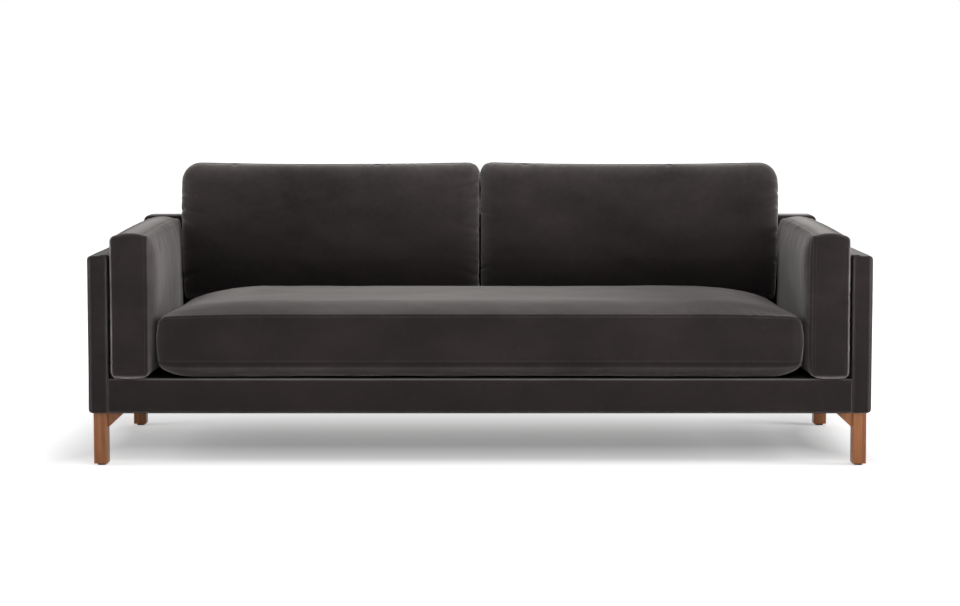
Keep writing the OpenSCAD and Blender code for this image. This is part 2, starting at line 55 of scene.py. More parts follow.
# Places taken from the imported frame, in metres
ARM_LOW, ARM_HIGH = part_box("arm_panel_right")
BACK_LOW, BACK_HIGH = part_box("back_cover")
RAIL_LOW, RAIL_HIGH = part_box("front_rail_cover")
DECK_LOW, DECK_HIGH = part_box("deck_cloth")
DUST_LOW, DUST_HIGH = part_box("dust_cover")
BACK_LEAN = math.radians(5)

# Cushions: the same sizes as in the part's source
REST_GAP = 0.3 * MM
CUSHION_FRONT = ARM_LOW.y - 8 * MM
SEAT_Z = DECK_HIGH.z + REST_GAP
SEAT_HALF = 0.944
SEAT_BOXING = 0.140
SEAT_UNDER = 0.046
SEAT_CROWN = 0.030
BACK_BOXING = 0.128
BACK_CROWN = 0.032
BACK_REAR_CROWN = 0.016
BACK_HALF = 0.46775
BACK_MIDDLE_X = 0.47425
BACK_SINK = 0.036
CUSHION_TOP = 0.860
ARM_BOXING = 0.108
ARM_CROWN = 0.017
ARM_OUTER_CROWN = 0.008
ARM_CUSHION_TOP = 0.677
BULGE = 0.005
DRAW_IN = 0.005

# Two flat places closer than this are the same place
SAME = 1e-6

# Sewing
SEAM_ROWS = [0, 1.4 * MM, 3.2 * MM, 5.5 * MM, 7.5 * MM, 10.5 * MM, 15 * MM]
GROOVE_LIFT = [-1.8 * MM, -0.4 * MM, 0.4 * MM, 0.2 * MM, 0, 0, 0]
TWIN_LIFT = [-1.0 * MM, 0.2 * MM, 0.4 * MM, -0.3 * MM, 0.1 * MM, 0, 0]
LIP_LIFT = [1.3 * MM, 0.5 * MM, -0.1 * MM, 0.2 * MM, 0.1 * MM, -0.6 * MM, 0]
PIPED_LIFT = [1.4 * MM, 0.3 * MM, -0.8 * MM, -0.3 * MM, 0.3 * MM, 0.1 * MM, 0]
# Widths of the painted highlights beside seams and where a strip turns under, and of the painted
# shade in the seam
SEAM_GLINT = 2.4 * MM
FOOT_GLINT_AT = 3 * MM
FOOT_GLINT = 4 * MM
SEAM_SHADE_WIDTH = 1.2 * MM
CREASE_DEPTH = 1.5
STITCH_PITCH = 8 * MM
STITCH_LENGTH = 5.6 * MM
STITCH_THICK = 0.7 * MM
STITCH_BATCH = 40
ZIP_WIDTH = 26 * MM
ZIP_DEPTH = 8.6 * MM
ZIP_SHORT = 83 * MM
PUCKER_SPACING = 34 * MM
PUCKER_DEPTH = 1.3 * MM
COVER_PUCKER_SPACING = 70 * MM
COVER_PUCKER_DEPTH = 0.5 * MM

# Unevenness of the padding: waves by size and height
CUSHION_WAVES = [(0.16, 2.2 * MM), (0.05, 0.6 * MM)]
COVER_WAVES = (0.2, 0.8 * MM)

# How a coarse copy of each cushion is settled as cloth
CLOTH = {"quality": 4, "mass": 0.15, "tension_stiffness": 12, "compression_stiffness": 8,
         "bending_stiffness": 0.6, "use_pressure": True, "uniform_pressure_force": 4,
         "vertex_group_shrink": "seams", "shrink_min": -0.012, "shrink_max": 0.03}
CLOTH_CELL = 17 * MM
CLOTH_ROWS = (0, 9 * MM)
CLOTH_STEPS = 20
CLOTH_NEIGHBOURS = 6
SETTLED_MOST = 4 * MM
SETTLED_CALM = 50 * MM

# Studio: camera, and each lamp's place, target, size, power and spread
CAMERA_LENS = 96
CAMERA_SENSOR = 36
CAMERA_PLACE = (0, -7.874, 1.130)
CAMERA_TILT = 84.98
LAMPS = {
    "overhead": ((0.1, -1.6, 3.2), (0.1, -0.1, 0.3), (5.0, 2.0), 14),
    "front_top": ((1.4, -3.6, 4.2), (0, 0, 0.4), (2.6, 1.8), 48),
    "right_side": ((4.6, -0.8, 1.9), (0, 0, 0.4), (2.0, 1.6), 84),
    "left_side": ((-4.6, -0.6, 2.0), (0, 0, 0.4), (2.0, 1.6), 38),
    "behind": ((0, 4.4, 1.8), (0, 0.4, 0.4), (3.0, 1.2), 30),
    "floor_wash": ((0, -2.9, 2.6), (0, -2.9, 0), (5.0, 1.4), 105, 70),
}
WORLD_LIGHT = 0.18

# The floor glows to white outside the sofa's shadow, from the first place to the second;
# it glows less inside, a painted shadow
GLOW_LEFT = (-1.10, -1.38)
GLOW_RIGHT = (1.00, 1.30)
GLOW_FRONT = (-0.03, -0.66)
GLOW_REAR = (0.23, 1.25)
GLOW_FAR = (1.8, 4.0, 0, 0.22)
GLOW_IN_SHADOW, GLOW_OUTSIDE = 0.28, 0.80
# Painted shadow: under the sofa the floor's light drops by up to this much towards the right
PAINTED_SHADOW_RIGHT = (0.72, 1.02, 0, 0.17)
FLOOR_HALF = 30

# Velvet: its colour deep in the pile, its pale painted highlights and light, and its painted shade
VELVET_DEEP = (0.0240, 0.0178, 0.0172)
VELVET_PAINTED_LIGHT = (0.34, 0.306, 0.296)
PAINTED_LIGHT_SHARE = 0.557
PAINTED_SHADE_LEVEL = 0.25
VELVET_SHEEN = 0.75


def add_object(name, data):
    """A new object in the scene."""
    thing = bpy.data.objects.new(name, data)
    bpy.context.scene.collection.objects.link(thing)
    return thing


def mesh_of(bm, name):
    """The finished mesh of a bmesh, which is given back to memory."""
    mesh = bpy.data.meshes.new(name)
    bm.to_mesh(mesh)
    bm.free()
    return mesh


# Shading

def new_group(name, inputs, outputs):
    """An empty shader node group with named sockets, and its input and output nodes."""
    group = bpy.data.node_groups.new(name, "ShaderNodeTree")
    for label, kind, default in inputs:
        socket = group.interface.new_socket(label, in_out="INPUT", socket_type="NodeSocket" + kind)
        if default is not None:
            socket.default_value = default
    for label, kind in outputs:
        group.interface.new_socket(label, in_out="OUTPUT", socket_type="NodeSocket" + kind)
    return group, group.nodes.new("NodeGroupInput"), group.nodes.new("NodeGroupOutput")


def feed(tree, node, links):
    """Inputs of a node, by name or number: each is linked to a socket or set to a value."""
    for label, source in dict(links).items():
        if isinstance(source, bpy.types.NodeSocket):
            tree.links.new(source, node.inputs[label])
        else:
            node.inputs[label].default_value = source
    return node


def add_node(tree, kind, links=(), **settings):
    """A node with its settings and its inputs."""
    node = tree.nodes.new("ShaderNode" + kind)
    for key, value in settings.items():
        setattr(node, key, value)
    return feed(tree, node, links)


def scaled_noise(tree, vector, stretch, scale, detail=2.0, rough=0.5):
    """Noise on a stretched vector, 0 to 1."""
    mapping = add_node(tree, "Mapping", {"Vector": vector, "Scale": stretch})
    tex = add_node(tree, "TexNoise", {"Vector": mapping.outputs[0], "Scale": scale,
                                      "Detail": detail, "Roughness": rough})
    return tex.outputs["Fac"]


def ranged(tree, value, low, high, to_low=0.0, to_high=1.0):
    return add_node(tree, "MapRange", {"Value": value, "From Min": low, "From Max": high,
                                       "To Min": to_low, "To Max": to_high}).outputs[0]


def combined(tree, operation, a, b):
    return add_node(tree, "Math", {0: a, 1: b}, operation=operation).outputs[0]


def times(tree, a, b):
    return combined(tree, "MULTIPLY", a, b)


def plus(tree, a, b):
    return combined(tree, "ADD", a, b)


def largest(tree, a, b):
    return combined(tree, "MAXIMUM", a, b)


def make_pile_group():
    """Velvet pile: which way it lies, one way or the other, and the height of its fibres."""
    group, ins, outs = new_group("pile", [
        ("Vector", "Vector", None), ("Brush", "Float", 0.3), ("Fibre", "Float", 1.0)
    ], [("Shade", "Float"), ("Height", "Float")])
    place = ins.outputs["Vector"]
    broad = scaled_noise(group, place, (1.2, 1.6, 2.0), 2.6, 3.0)
    strokes = scaled_noise(group, place, (1.0, 1.2, 1.7), 9.0, 4.0, 0.6)
    mottle = scaled_noise(group, place, (1.0, 1.0, 1.0), 60.0, 3.0, 0.65)
    fibres = scaled_noise(group, place, (1.0, 1.0, 1.0), 900.0, 2.0, 0.7)
    large = times(group, ranged(group, broad, 0.3, 0.7, -1, 1), ins.outputs["Brush"])
    small = times(group, ranged(group, strokes, 0.3, 0.7, -0.5, 0.5), ins.outputs["Brush"])
    marks = scaled_noise(group, place, (1.0, 1.0, 0.7), 48.0, 1.0)
    speck = plus(group, ranged(group, mottle, 0.3, 0.7, -0.09, 0.09),
                 ranged(group, marks, 0.76, 0.84, 0, 0.6))
    shade = plus(group, plus(group, large, small), plus(group, speck, 1.0))
    height = times(group, fibres, ins.outputs["Fibre"])
    feed(group, outs, {"Shade": shade, "Height": height})
    return group


def make_grain_group():
    """Straight wood grain along Z: its darkness, its pores and a slow drift of colour."""
    group, ins, outs = new_group("grain", [
        ("Vector", "Vector", None), ("Scale", "Float", 1.0)
    ], [("Figure", "Float"), ("Pores", "Float"), ("Drift", "Float")])
    sizes = {0: ins.outputs["Vector"], "Scale": ins.outputs["Scale"]}
    scaled = add_node(group, "VectorMath", sizes, operation="SCALE").outputs[0]
    warp = scaled_noise(group, scaled, (9.0, 9.0, 1.1), 3.0, 3.0)
    rings = scaled_noise(group, scaled, (38.0, 38.0, 1.6), 3.4, 4.0, 0.6)
    pores = scaled_noise(group, scaled, (260.0, 260.0, 9.0), 4.0, 2.0, 0.6)
    figure = plus(group, times(group, warp, 0.45), times(group, rings, 0.55))
    feed(group, outs, {"Figure": ranged(group, figure, 0.36, 0.64),
                       "Pores": ranged(group, pores, 0.56, 0.72),
                       "Drift": scaled_noise(group, scaled, (1.0, 1.0, 1.0), 2.4)})
    return group


def make_weave_group():
    """Plain weave of two crossing yarns, as a height from 0 to 1."""
    group, ins, outs = new_group("weave", [
        ("Vector", "Vector", None), ("Yarns per metre", "Float", 900.0)
    ], [("Height", "Float")])
    turn = times(group, ins.outputs["Yarns per metre"], math.tau / 2)
    parts = add_node(group, "SeparateXYZ", {0: ins.outputs["Vector"]})
    waves = []
    for axis in (0, 1):
        phase = times(group, parts.outputs[axis], turn)
        waves.append(add_node(group, "Math", {0: phase}, operation="SINE").outputs[0])
    crossed = times(group, waves[0], waves[1])
    feed(group, outs, {"Height": ranged(group, crossed, -1, 1)})
    return group


PILE = make_pile_group()
GRAIN = make_grain_group()
WEAVE = make_weave_group()
finishes = {}


def new_material(name):
    """A new finish: its node tree, Principled shader and Object coordinates."""
    finishes[name] = bpy.data.materials.new(name)
    finishes[name].use_nodes = True
    tree = finishes[name].node_tree
    return tree, tree.nodes["Principled BSDF"], add_node(tree, "TexCoord").outputs["Object"]


def placed(tree, group, links):
    return add_node(tree, "Group", links, node_tree=group).outputs


def bumped(tree, height, distance, strength):
    return add_node(tree, "Bump", {"Height": height, "Distance": distance,
                                   "Strength": strength}).outputs[0]


def coloured(tree, colour, shade):
    """A colour made lighter or darker by a factor."""
    return add_node(tree, "VectorMath", {0: colour, "Scale": shade}, operation="SCALE").outputs[0]


def tinted(tree, factor, low, high):
    """A colour between two, by a factor."""
    return add_node(tree, "Mix", {"Factor": factor, 6: (*low, 1), 7: (*high, 1)},
                    data_type="RGBA").outputs[2]


def make_velvet(name, brush):
    """Dark velvet: matt ground and bright pile at grazing angles. Above zero the attribute paints
    highlights and light in a pale colour; below zero it paints shade, darker and without sheen."""
    tree, shader, place = new_material(name)
    pile = placed(tree, PILE, {"Vector": place, "Brush": brush})
    # The attribute: painted highlights and painted light above zero, painted shade below zero
    seam = add_node(tree, "Attribute", attribute_name="seam").outputs["Fac"]
    ground = tinted(tree, times(tree, seam, PAINTED_LIGHT_SHARE), VELVET_DEEP, VELVET_PAINTED_LIGHT)
    unshaded_share = ranged(tree, seam, -1, 0)
    shade = times(tree, pile["Shade"], ranged(tree, unshaded_share, 0, 1, PAINTED_SHADE_LEVEL, 1))
    feed(tree, shader, {"Base Color": coloured(tree, ground, shade), "Roughness": 0.85,
                        "Specular IOR Level": 0.25, "Sheen Roughness": 0.38,
                        "Sheen Weight": times(tree, unshaded_share, VELVET_SHEEN),
                        "Sheen Tint": (1.0, 0.95, 0.93, 1),
                        "Normal": bumped(tree, pile["Height"], 0.4 * MM, 0.5)})


def make_wood(name, dark, light, rough, scale=1.0):
    tree, shader, place = new_material(name)
    grain = placed(tree, GRAIN, {"Vector": place, "Scale": scale})
    drift = ranged(tree, grain["Drift"], 0.3, 0.7, 0.86, 1.12)
    pores = ranged(tree, grain["Pores"], 0, 1, 1.0, 0.72)
    colour = coloured(tree, tinted(tree, grain["Figure"], dark, light), times(tree, drift, pores))
    roughness = ranged(tree, grain["Figure"], 0, 1, rough + 0.08, rough - 0.04)
    feed(tree, shader, {"Base Color": colour, "Roughness": roughness,
                        "Normal": bumped(tree, pores, 0.15 * MM, 0.5)})


def make_cloth(name, colour, yarns, rough=0.95):
    tree, shader, place = new_material(name)
    weave = placed(tree, WEAVE, {"Vector": place, "Yarns per metre": yarns})
    drift = ranged(tree, scaled_noise(tree, place, (1, 1, 1), 6.0), 0.3, 0.7, 0.8, 1.2)
    shade = times(tree, drift, ranged(tree, weave["Height"], 0, 1, 0.75, 1.15))
    feed(tree, shader, {"Base Color": coloured(tree, colour, shade), "Roughness": rough,
                        "Normal": bumped(tree, weave["Height"], 0.3 * MM, 0.6)})


def make_plain(name, colour, marks, shades, roughs, relief=None, metallic=0.0):
    """A plain finish with fine marks: how far they are stretched, their scale and roughness,
    and how they change its colour, its roughness, and its surface by depth and strength."""
    tree, shader, place = new_material(name)
    stretch, scale, rough = marks
    seen = scaled_noise(tree, place, stretch, scale, 3.0, rough)
    shade = ranged(tree, seen, 0.3, 0.7, *shades)
    feed(tree, shader, {"Base Color": coloured(tree, colour, shade), "Metallic": metallic,
                        "Roughness": ranged(tree, seen, 0.3, 0.7, *roughs)})
    if relief:
        feed(tree, shader, {"Normal": bumped(tree, seen, *relief)})


FOAM = (0.82, 1.08), (0.95, 0.95), (0.8 * MM, 0.6)
METAL = {"marks": ((1, 1, 12), 70.0, 0.6), "shades": (0.88, 1.08), "metallic": 1.0}
make_velvet("velvet", 0.22)
make_velvet("cushion_velvet", 0.30)
make_wood("leg_wood", (0.25, 0.077, 0.022), (0.52, 0.193, 0.063), 0.42)
make_wood("frame_timber", (0.42, 0.27, 0.13), (0.62, 0.45, 0.25), 0.7, 0.5)
make_plain("foam", (0.85, 0.80, 0.60), ((1, 1, 1), 420.0, 0.7), *FOAM)
make_plain("felt", (0.26, 0.26, 0.24), ((1, 1, 1), 700.0, 0.7), *FOAM)
make_cloth("decking", (0.016, 0.015, 0.016), 1000.0)
make_cloth("cambric", (0.010, 0.010, 0.010), 1400.0)
make_cloth("webbing", (0.016, 0.015, 0.016), 500.0)
make_cloth("zip_tape", (0.012, 0.011, 0.011), 1600.0)
make_cloth("thread", (0.10, 0.092, 0.088), 2600.0, 0.8)
make_plain("spring_steel", (0.42, 0.43, 0.45), roughs=(0.28, 0.48), **METAL)
make_plain("zip_metal", (0.09, 0.085, 0.08), roughs=(0.26, 0.46), **METAL)
make_plain("glide_plastic", (0.012, 0.012, 0.012), ((1, 1, 1), 240.0, 0.6), (0.85, 1.15),
           (0.42, 0.6), (0.1 * MM, 0.4))

for part in frame["record"]["subparts"]:
    node = frame["nodes"][part["node"]]
    node.data.materials.clear()
    node.data.materials.append(finishes[part["material_slot"]])


# Boxed shells: two panels joined by a strip, flat until they are stuffed

def clamped(values):
    """Values held between 0 and 1."""
    return np.clip(values, 0, 1)


def seam_lines(half, cell, rows):
    """Where the lines across a strip of half width `half` run, close together beside its seams."""
    beside = [half - r for r in rows if half - r > half / 3]
    inner = beside[-1]
    steps = max(2, round(2 * inner / cell))
    middle = [-inner + 2 * inner * i / steps for i in range(1, steps)]
    return [-x for x in beside] + middle + beside[::-1]


def read_points(items, label):
    """A triple of numbers of every item, as rows."""
    values = np.zeros(len(items) * 3, np.float32)
    items.foreach_get(label, values)
    return values.reshape(-1, 3)


class Shell:
    """A closed quad mesh of two panels and a boxing strip, and the flat place of every point:
    u and v on the panels, and w across the strip."""

    def __init__(self, half_u, half_v, boxing, cell, rows=tuple(SEAM_ROWS), flip=False):
        self.half = (half_u, half_v, boxing / 2)
        self.lines = [seam_lines(h, cell, rows) for h in self.half]
        us, vs, ws = self.lines
        bm = bmesh.new()
        for w in (ws[0], ws[-1]):
            grid = bmesh.ops.create_grid(bm, x_segments=len(us) - 1, y_segments=len(vs) - 1, size=1)
            for vert in grid["verts"]:
                i = round((vert.co.x + 1) / 2 * (len(us) - 1))
                j = round((vert.co.y + 1) / 2 * (len(vs) - 1))
                vert.co = us[i], vs[j], w
        bmesh.ops.bridge_loops(bm, edges=[e for e in bm.edges if e.is_boundary])
        strip = [e for e in bm.edges if abs(e.verts[0].co.z - e.verts[1].co.z) > boxing / 2]
        bmesh.ops.subdivide_edges(bm, edges=strip, cuts=len(ws) - 2, use_grid_fill=True)
        for vert in bm.verts:
            k = round((vert.co.z / boxing + 0.5) * (len(ws) - 1))
            vert.co.z = ws[k]
        bmesh.ops.recalc_face_normals(bm, faces=bm.faces)
        self.mesh = mesh_of(bm, "shell")
        if flip:
            self.mesh.flip_normals()
        self.flat = self.points()
        self.index = {self.key(p): i for i, p in enumerate(self.flat)}

    def key(self, p):
        return tuple(round(float(x) * 1e5) for x in p)

    def points(self):
        return read_points(self.mesh.vertices, "co").astype(float)

    def move_to(self, co):
        self.mesh.vertices.foreach_set("co", co.astype(np.float32).ravel())
        self.mesh.update()

    def normals(self):
        return read_points(self.mesh.vertex_normals, "vector").astype(float)

    def insets(self):
        """Distances from the panels' u and v edges, and across the boxing from its seams."""
        return (self.half - np.abs(self.flat)).T

    def seam_distance(self):
        """Distance of every point from the nearest seam, along the surface."""
        in_u, in_v, in_w = self.insets()
        return np.maximum(np.minimum(in_u, in_v), in_w)

    def ring(self, row, w):
        """Points on a panel that run round at one row from the seam, in order."""
        us, vs, _ = self.lines
        n, m = len(us) - 1, len(vs) - 1
        walk = [(i, row) for i in range(row, n - row)]
        walk += [(n - row, j) for j in range(row, m - row)]
        walk += [(i, m - row) for i in range(n - row, row, -1)]
        walk += [(row, j) for j in range(m - row, row, -1)]
        return [self.index[self.key((us[i], vs[j], w))] for i, j in walk]


def rounded(distance, radius):
    """How far an edge has turned away at a distance from its end, where it is rounded."""
    past = clamped(1 - distance / radius)
    return radius * (1 - np.sqrt(1 - past ** 2))


def swell(inset, run, plump, beside, slack):
    """Rise of a stuffed panel from its seam, 0 to 1. A plump one rises mostly beside the seam,
    a slack one gently."""
    def risen(reach):
        left = 1 - (1 - clamped(inset / reach)) ** 2
        return slack * left + (1 - slack) * np.sqrt(left)
    return plump * risen(run * beside) + (1 - plump) * risen(run)


def stuffed(flat, half, corner, low, high, bulge=BULGE, draw_u=DRAW_IN, draw_v=DRAW_IN,
            plump=0.0, beside=0.3, slack=0.0):
    """Crowned panels, rounded corners, a bulging strip, and sides drawn in between corners.
    low and high are the rise of the two panels and its runs from their u and v edges."""
    a, b, h = half
    u, v, w = flat.T
    rise = np.zeros(len(flat))
    for side, (height, run_u, run_v) in ((-1, low), (1, high)):
        lift = height * swell(a - np.abs(u), run_u, plump, beside, slack) \
            * swell(b - np.abs(v), run_v, plump, beside, slack)
        rise += np.where(np.abs(w - side * h) < SAME, side * lift, 0)
    past_u = clamped((np.abs(u) - (a - corner)) / corner)
    past_v = clamped((np.abs(v) - (b - corner)) / corner)
    round_u = past_u * np.sqrt(1 - past_v ** 2 / 2)
    round_v = past_v * np.sqrt(1 - past_u ** 2 / 2)
    out = np.hypot(round_u, round_v) + 1e-9
    belly = bulge * (1 - (w / h) ** 2) * (np.maximum(past_u, past_v) > 0.999)
    new_u = np.abs(u) + (round_u - past_u) * corner + belly * round_u / out
    new_v = np.abs(v) + (round_v - past_v) * corner + belly * round_v / out
    new_u *= np.sign(u) * (1 - draw_u / a * (1 - np.clip(v / b, -1, 1) ** 2))
    new_v *= np.sign(v) * (1 - draw_v / b * (1 - np.clip(u / a, -1, 1) ** 2))
    return np.stack([new_u, new_v, w + rise], 1)


def seam_puckers(shell, seed, spacing, depth, chosen=()):
    """Depth of the small creases that run off the seams. chosen holds the ones a viewer would
    notice, on the upper panel: side (0 for u, 1 for v), its sign, place, reach, width, depth."""
    rng = random.Random(seed)
    creases = [(side, sign, place * MM, 1, reach * MM, width * MM, deep * CREASE_DEPTH * MM)
               for side, sign, place, reach, width, deep in chosen]
    for side in (0, 1):
        along = shell.half[1 - side]
        for sign in (-1, 1):
            for panel in (-1, 1):
                for _ in range(int(2 * along / spacing)):
                    creases.append((side, sign, rng.uniform(-0.97, 0.97) * along, panel,
                                    rng.uniform(10, 38) * MM, rng.uniform(3.5, 8) * MM,
                                    rng.uniform(0.25, 1) * depth))
    insets = shell.insets()
    u, v, w = shell.flat.T
    moved = np.zeros(len(u))
    for side, sign, place, panel, reach, width, deep in creases:
        across, along = (u, v) if side == 0 else (v, u)
        near = (across * sign > 0) & (w * panel > 0) & (np.abs(along - place) < 4 * width + reach)
        far = np.maximum(insets[side][near], insets[2][near])
        lean = 0.25 * far * (1 if place > 0 else -1)
        t = (along[near] - place + lean) / width
        moved[near] -= deep * (1 - t ** 2) * np.exp(-t ** 2 / 2) * np.exp(-(far / reach) ** 2)
    return moved


def broad_waves(points, seed, size, height):
    """Slow unevenness of a padded surface."""
    shift = Vector((seed * 3.7, seed * 1.3, seed * 2.1))
    return np.array([noise.noise(Vector(p) / size + shift) for p in points]) * height


def settled(shell, form, place):
    """Moves of the shell's points, from a coarse copy blown up as cloth with its seams drawn
    tight. They fade beside the seams."""
    coarse = Shell(*shell.half[:2], 2 * shell.half[2], CLOTH_CELL, rows=CLOTH_ROWS)
    start = place(form(coarse.flat, coarse.half))
    coarse.move_to(start)
    outward = ((start - start.mean(0)) * coarse.normals()).sum()
    if outward < 0:
        coarse.mesh.flip_normals()
    pad = add_object("settling", coarse.mesh)
    seams = pad.vertex_groups.new(name="seams")
    near = coarse.seam_distance() < 1 * MM
    seams.add(np.nonzero(near)[0].tolist(), 1.0, "REPLACE")
    cloth = pad.modifiers.new("Cloth", "CLOTH")
    for key, value in CLOTH.items():
        setattr(cloth.settings, key, value)
    cloth.settings.effector_weights.gravity = 0
    cloth.collision_settings.use_collision = False
    for step in range(CLOTH_STEPS):
        bpy.context.scene.frame_set(step + 1)
    done = pad.evaluated_get(bpy.context.evaluated_depsgraph_get()).to_mesh()
    moves = read_points(done.vertices, "co") - start
    bpy.context.scene.frame_set(1)
    bpy.data.objects.remove(pad)
    moves -= moves.mean(0)
    size = np.linalg.norm(moves, axis=1, keepdims=True) + 1e-9
    moves *= np.minimum(1, SETTLED_MOST / size)
    tree = kdtree.KDTree(len(start))
    for i, p in enumerate(start):
        tree.insert(p, i)
    tree.balance()
    out = []
    for p in place(form(shell.flat, shell.half)):
        hits = tree.find_n(p, CLOTH_NEIGHBOURS)
        reach = hits[-1][2] + 1e-6
        weights = [(1 - (d / reach) ** 2) ** 2 + 1e-4 for _, _, d in hits]
        out.append(sum(w * moves[i] for w, (_, i, _) in zip(weights, hits)) / sum(weights))
    inner = clamped(shell.insets()[:2].min(0) / SETTLED_CALM)
    return np.array(out) * (0.15 + 0.85 * inner)[:, None]


def sewn(shell, low, high):
    """Height of the velvet beside the lower and the upper seam."""
    far = shell.seam_distance()
    return np.where(shell.flat[:, 2] < 0, np.interp(far, SEAM_ROWS, low),
                    np.interp(far, SEAM_ROWS, high))


def panel_share(shell, side):
    """1 on the lower (-1) or upper (1) panel of a shell, 0 elsewhere."""
    return (shell.flat[:, 2] * side > shell.half[2] - SAME) * 1.0


def paint_light_and_shade(shell, row, low, high, foot=0.0, painted_light=0.0, press_and_painted_shade=0.0, seam_shade=0.0):
    """The attribute that the velvet reads. It holds painted highlights, by low and high beside the
    lower and upper seam and by foot where the strip turns under at the front, with painted light
    added over them. The last two arguments paint shade, flat and dull: where a neighbour stands
    close, and in the seam itself."""
    press_and_painted_shade = np.maximum(press_and_painted_shade, seam_shade * np.exp(-(shell.seam_distance() / SEAM_SHADE_WIDTH) ** 2))
    far = shell.seam_distance() - SEAM_ROWS[row]
    strength = np.where(shell.flat[:, 2] < 0, low, high)
    painted_tone = strength * np.exp(-(far / SEAM_GLINT) ** 2)
    in_u, in_v, _ = shell.insets()
    front_foot = (shell.flat[:, 0] < 0) & (shell.flat[:, 1] < 0) & (in_u < SAME)
    turned_under = front_foot * np.exp(-((in_v - FOOT_GLINT_AT) / FOOT_GLINT) ** 2)
    painted_tone = np.maximum(painted_tone, foot * turned_under) + painted_light
    painted_tone = painted_tone * (1 - press_and_painted_shade) - press_and_painted_shade
    values = shell.mesh.attributes.new("seam", "FLOAT", "POINT")
    values.data.foreach_set("value", painted_tone.astype(np.float32))


def finished_piece(name, mesh, material, body, smooth=True):
    mesh.name = name
    piece = add_object(name, mesh)
    mesh.materials.clear()
    mesh.materials.append(material)
    mesh.polygons.foreach_set("use_smooth", [smooth] * len(mesh.polygons))
    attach(piece, body)
    return piece


def stitch_places(co, normals, ring):
    """Where the stitches lie, at a steady pitch round a closed ring of points."""
    places = []
    points = [Vector(co[i]) for i in ring]
    normals = [Vector(normals[i]) for i in ring]
    lengths = [(points[i] - points[i - 1]).length for i in range(len(points))]
    total = sum(lengths)
    count = round(total / STITCH_PITCH)
    gap, travelled, i = total / count, 0.0, 0
    for k in range(count):
        target = (k + 0.5) * gap
        while travelled + lengths[(i + 1) % len(points)] < target:
            i += 1
            travelled += lengths[i % len(points)]
        a, b = points[i % len(points)], points[(i + 1) % len(points)]
        along = (b - a).normalized()
        up = normals[i % len(points)]
        across = along.cross(up).normalized()
        up = across.cross(along)
        at = a + along * (target - travelled) + up * STITCH_THICK * 0.35
        shape = Matrix((along * STITCH_LENGTH / 2, across * STITCH_THICK / 2,
                        up * STITCH_THICK / 2)).transposed().to_4x4()
        places.append(Matrix.Translation(at) @ shape)
    return places


def make_stitches(name, shell, body, low_row=3, high_row=3):
    """Twin rows of stitches along both seams of a finished shell, each row so many lines off."""
    places = []
    co, normals = shell.points(), shell.normals()
    ws = shell.lines[2]
    for rim, beside, off in ((ws[0], ws[low_row], low_row),
                             (ws[-1], ws[-1 - high_row], high_row)):
        for row, w in ((off, rim), (0, beside)):
            places += stitch_places(co, normals, shell.ring(row, w))
    mesh = bpy.data.meshes.new(name)
    bm = bmesh.new()
    for start in range(0, len(places), STITCH_BATCH):
        batch = bmesh.new()
        for place in places[start:start + STITCH_BATCH]:
            bmesh.ops.create_icosphere(batch, subdivisions=1, radius=1, matrix=place)
        batch.to_mesh(mesh)
        batch.free()
        bm.from_mesh(mesh)
    bm.to_mesh(mesh)
    bm.free()
    piece = finished_piece(name, mesh, finishes["thread"], body)


def make_cushion(name, node, shell, form, place, rest, seed, zip_line, chosen=(),
                 seam_lift=(GROOVE_LIFT, GROOVE_LIFT), painted_tone=(2, 0.15, 0.15), rows=(3, 3),
                 touching=False, painted_light=0.0, press_and_painted_shade=0.0, seam_shade=0.0):
    """One loose cushion: stuffed, settled, sewn, creased, held flat on what it stands on, and given
    painted highlights, painted light and painted shade. It has the name of its body. A touching
    one is calmer where it stands against its neighbour."""
    co = place(form(shell.flat, shell.half))
    co = co + settled(shell, form, place)
    shell.move_to(co)
    puckers = seam_puckers(shell, seed, PUCKER_SPACING, PUCKER_DEPTH, chosen)
    side = touching * (shell.flat[:, 0] < -shell.half[0] + SAME)
    lift = sewn(shell, *seam_lift) + puckers * (1 - 0.8 * side)
    waves = sum(broad_waves(shell.flat, seed, *wave) for wave in CUSHION_WAVES)
    lift += waves * (0.25 + 0.75 * clamped(shell.insets()[:2].min(0) / (40 * MM)))
    lift *= 1 - side * clamped((shell.insets()[2] - 2 * MM) / (10 * MM))
    shell.move_to(zip_line(rest(co + shell.normals() * lift[:, None]), shell))
    # Painted highlights along the seams, painted light and painted shade, for the velvet to read
    paint_light_and_shade(shell, *painted_tone, painted_light=painted_light, press_and_painted_shade=press_and_painted_shade, seam_shade=seam_shade)
    piece = finished_piece(name, shell.mesh, finishes["cushion_velvet"], name)
    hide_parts(node)
    make_stitches(name + "_stitches", shell, name, *rows)


def inside_back(z):
    """Front face of the back at a height: it leans back above the deck."""
    return BACK_LOW.y + np.maximum(z - RAIL_HIGH.z, 0) * math.tan(BACK_LEAN)


def held_clear(co, floor, gap):
    """Points held above a floor and a gap in front of the inside back."""
    co[:, 2] = np.maximum(co[:, 2], floor)
    co[:, 1] = np.minimum(co[:, 1], inside_back(co[:, 2]) - gap)
    return co


# Seat cushion: one bench, crowned, rolled under at its lower seam

SEAT_REAR_GAP = 1.3 * MM
seat_middle_z = SEAT_Z + SEAT_UNDER + SEAT_BOXING / 2
seat_length = float(inside_back(seat_middle_z)) - SEAT_REAR_GAP - CUSHION_FRONT
SEAT_END_DIP = 0.022
SEAT_END_ROUND = 0.034
SEAT_PRESS = 0.007
SEAT_CORNER = 0.042
SEAT_UNDER_RUN = (0.090, 0.054)
SEAT_TOP_RUN = (0.270, 0.140)
SEAT_REST_FROM = 0.085
SEAT_REST_STEP = 0.015
SEAT_LIFTED = 0.0030
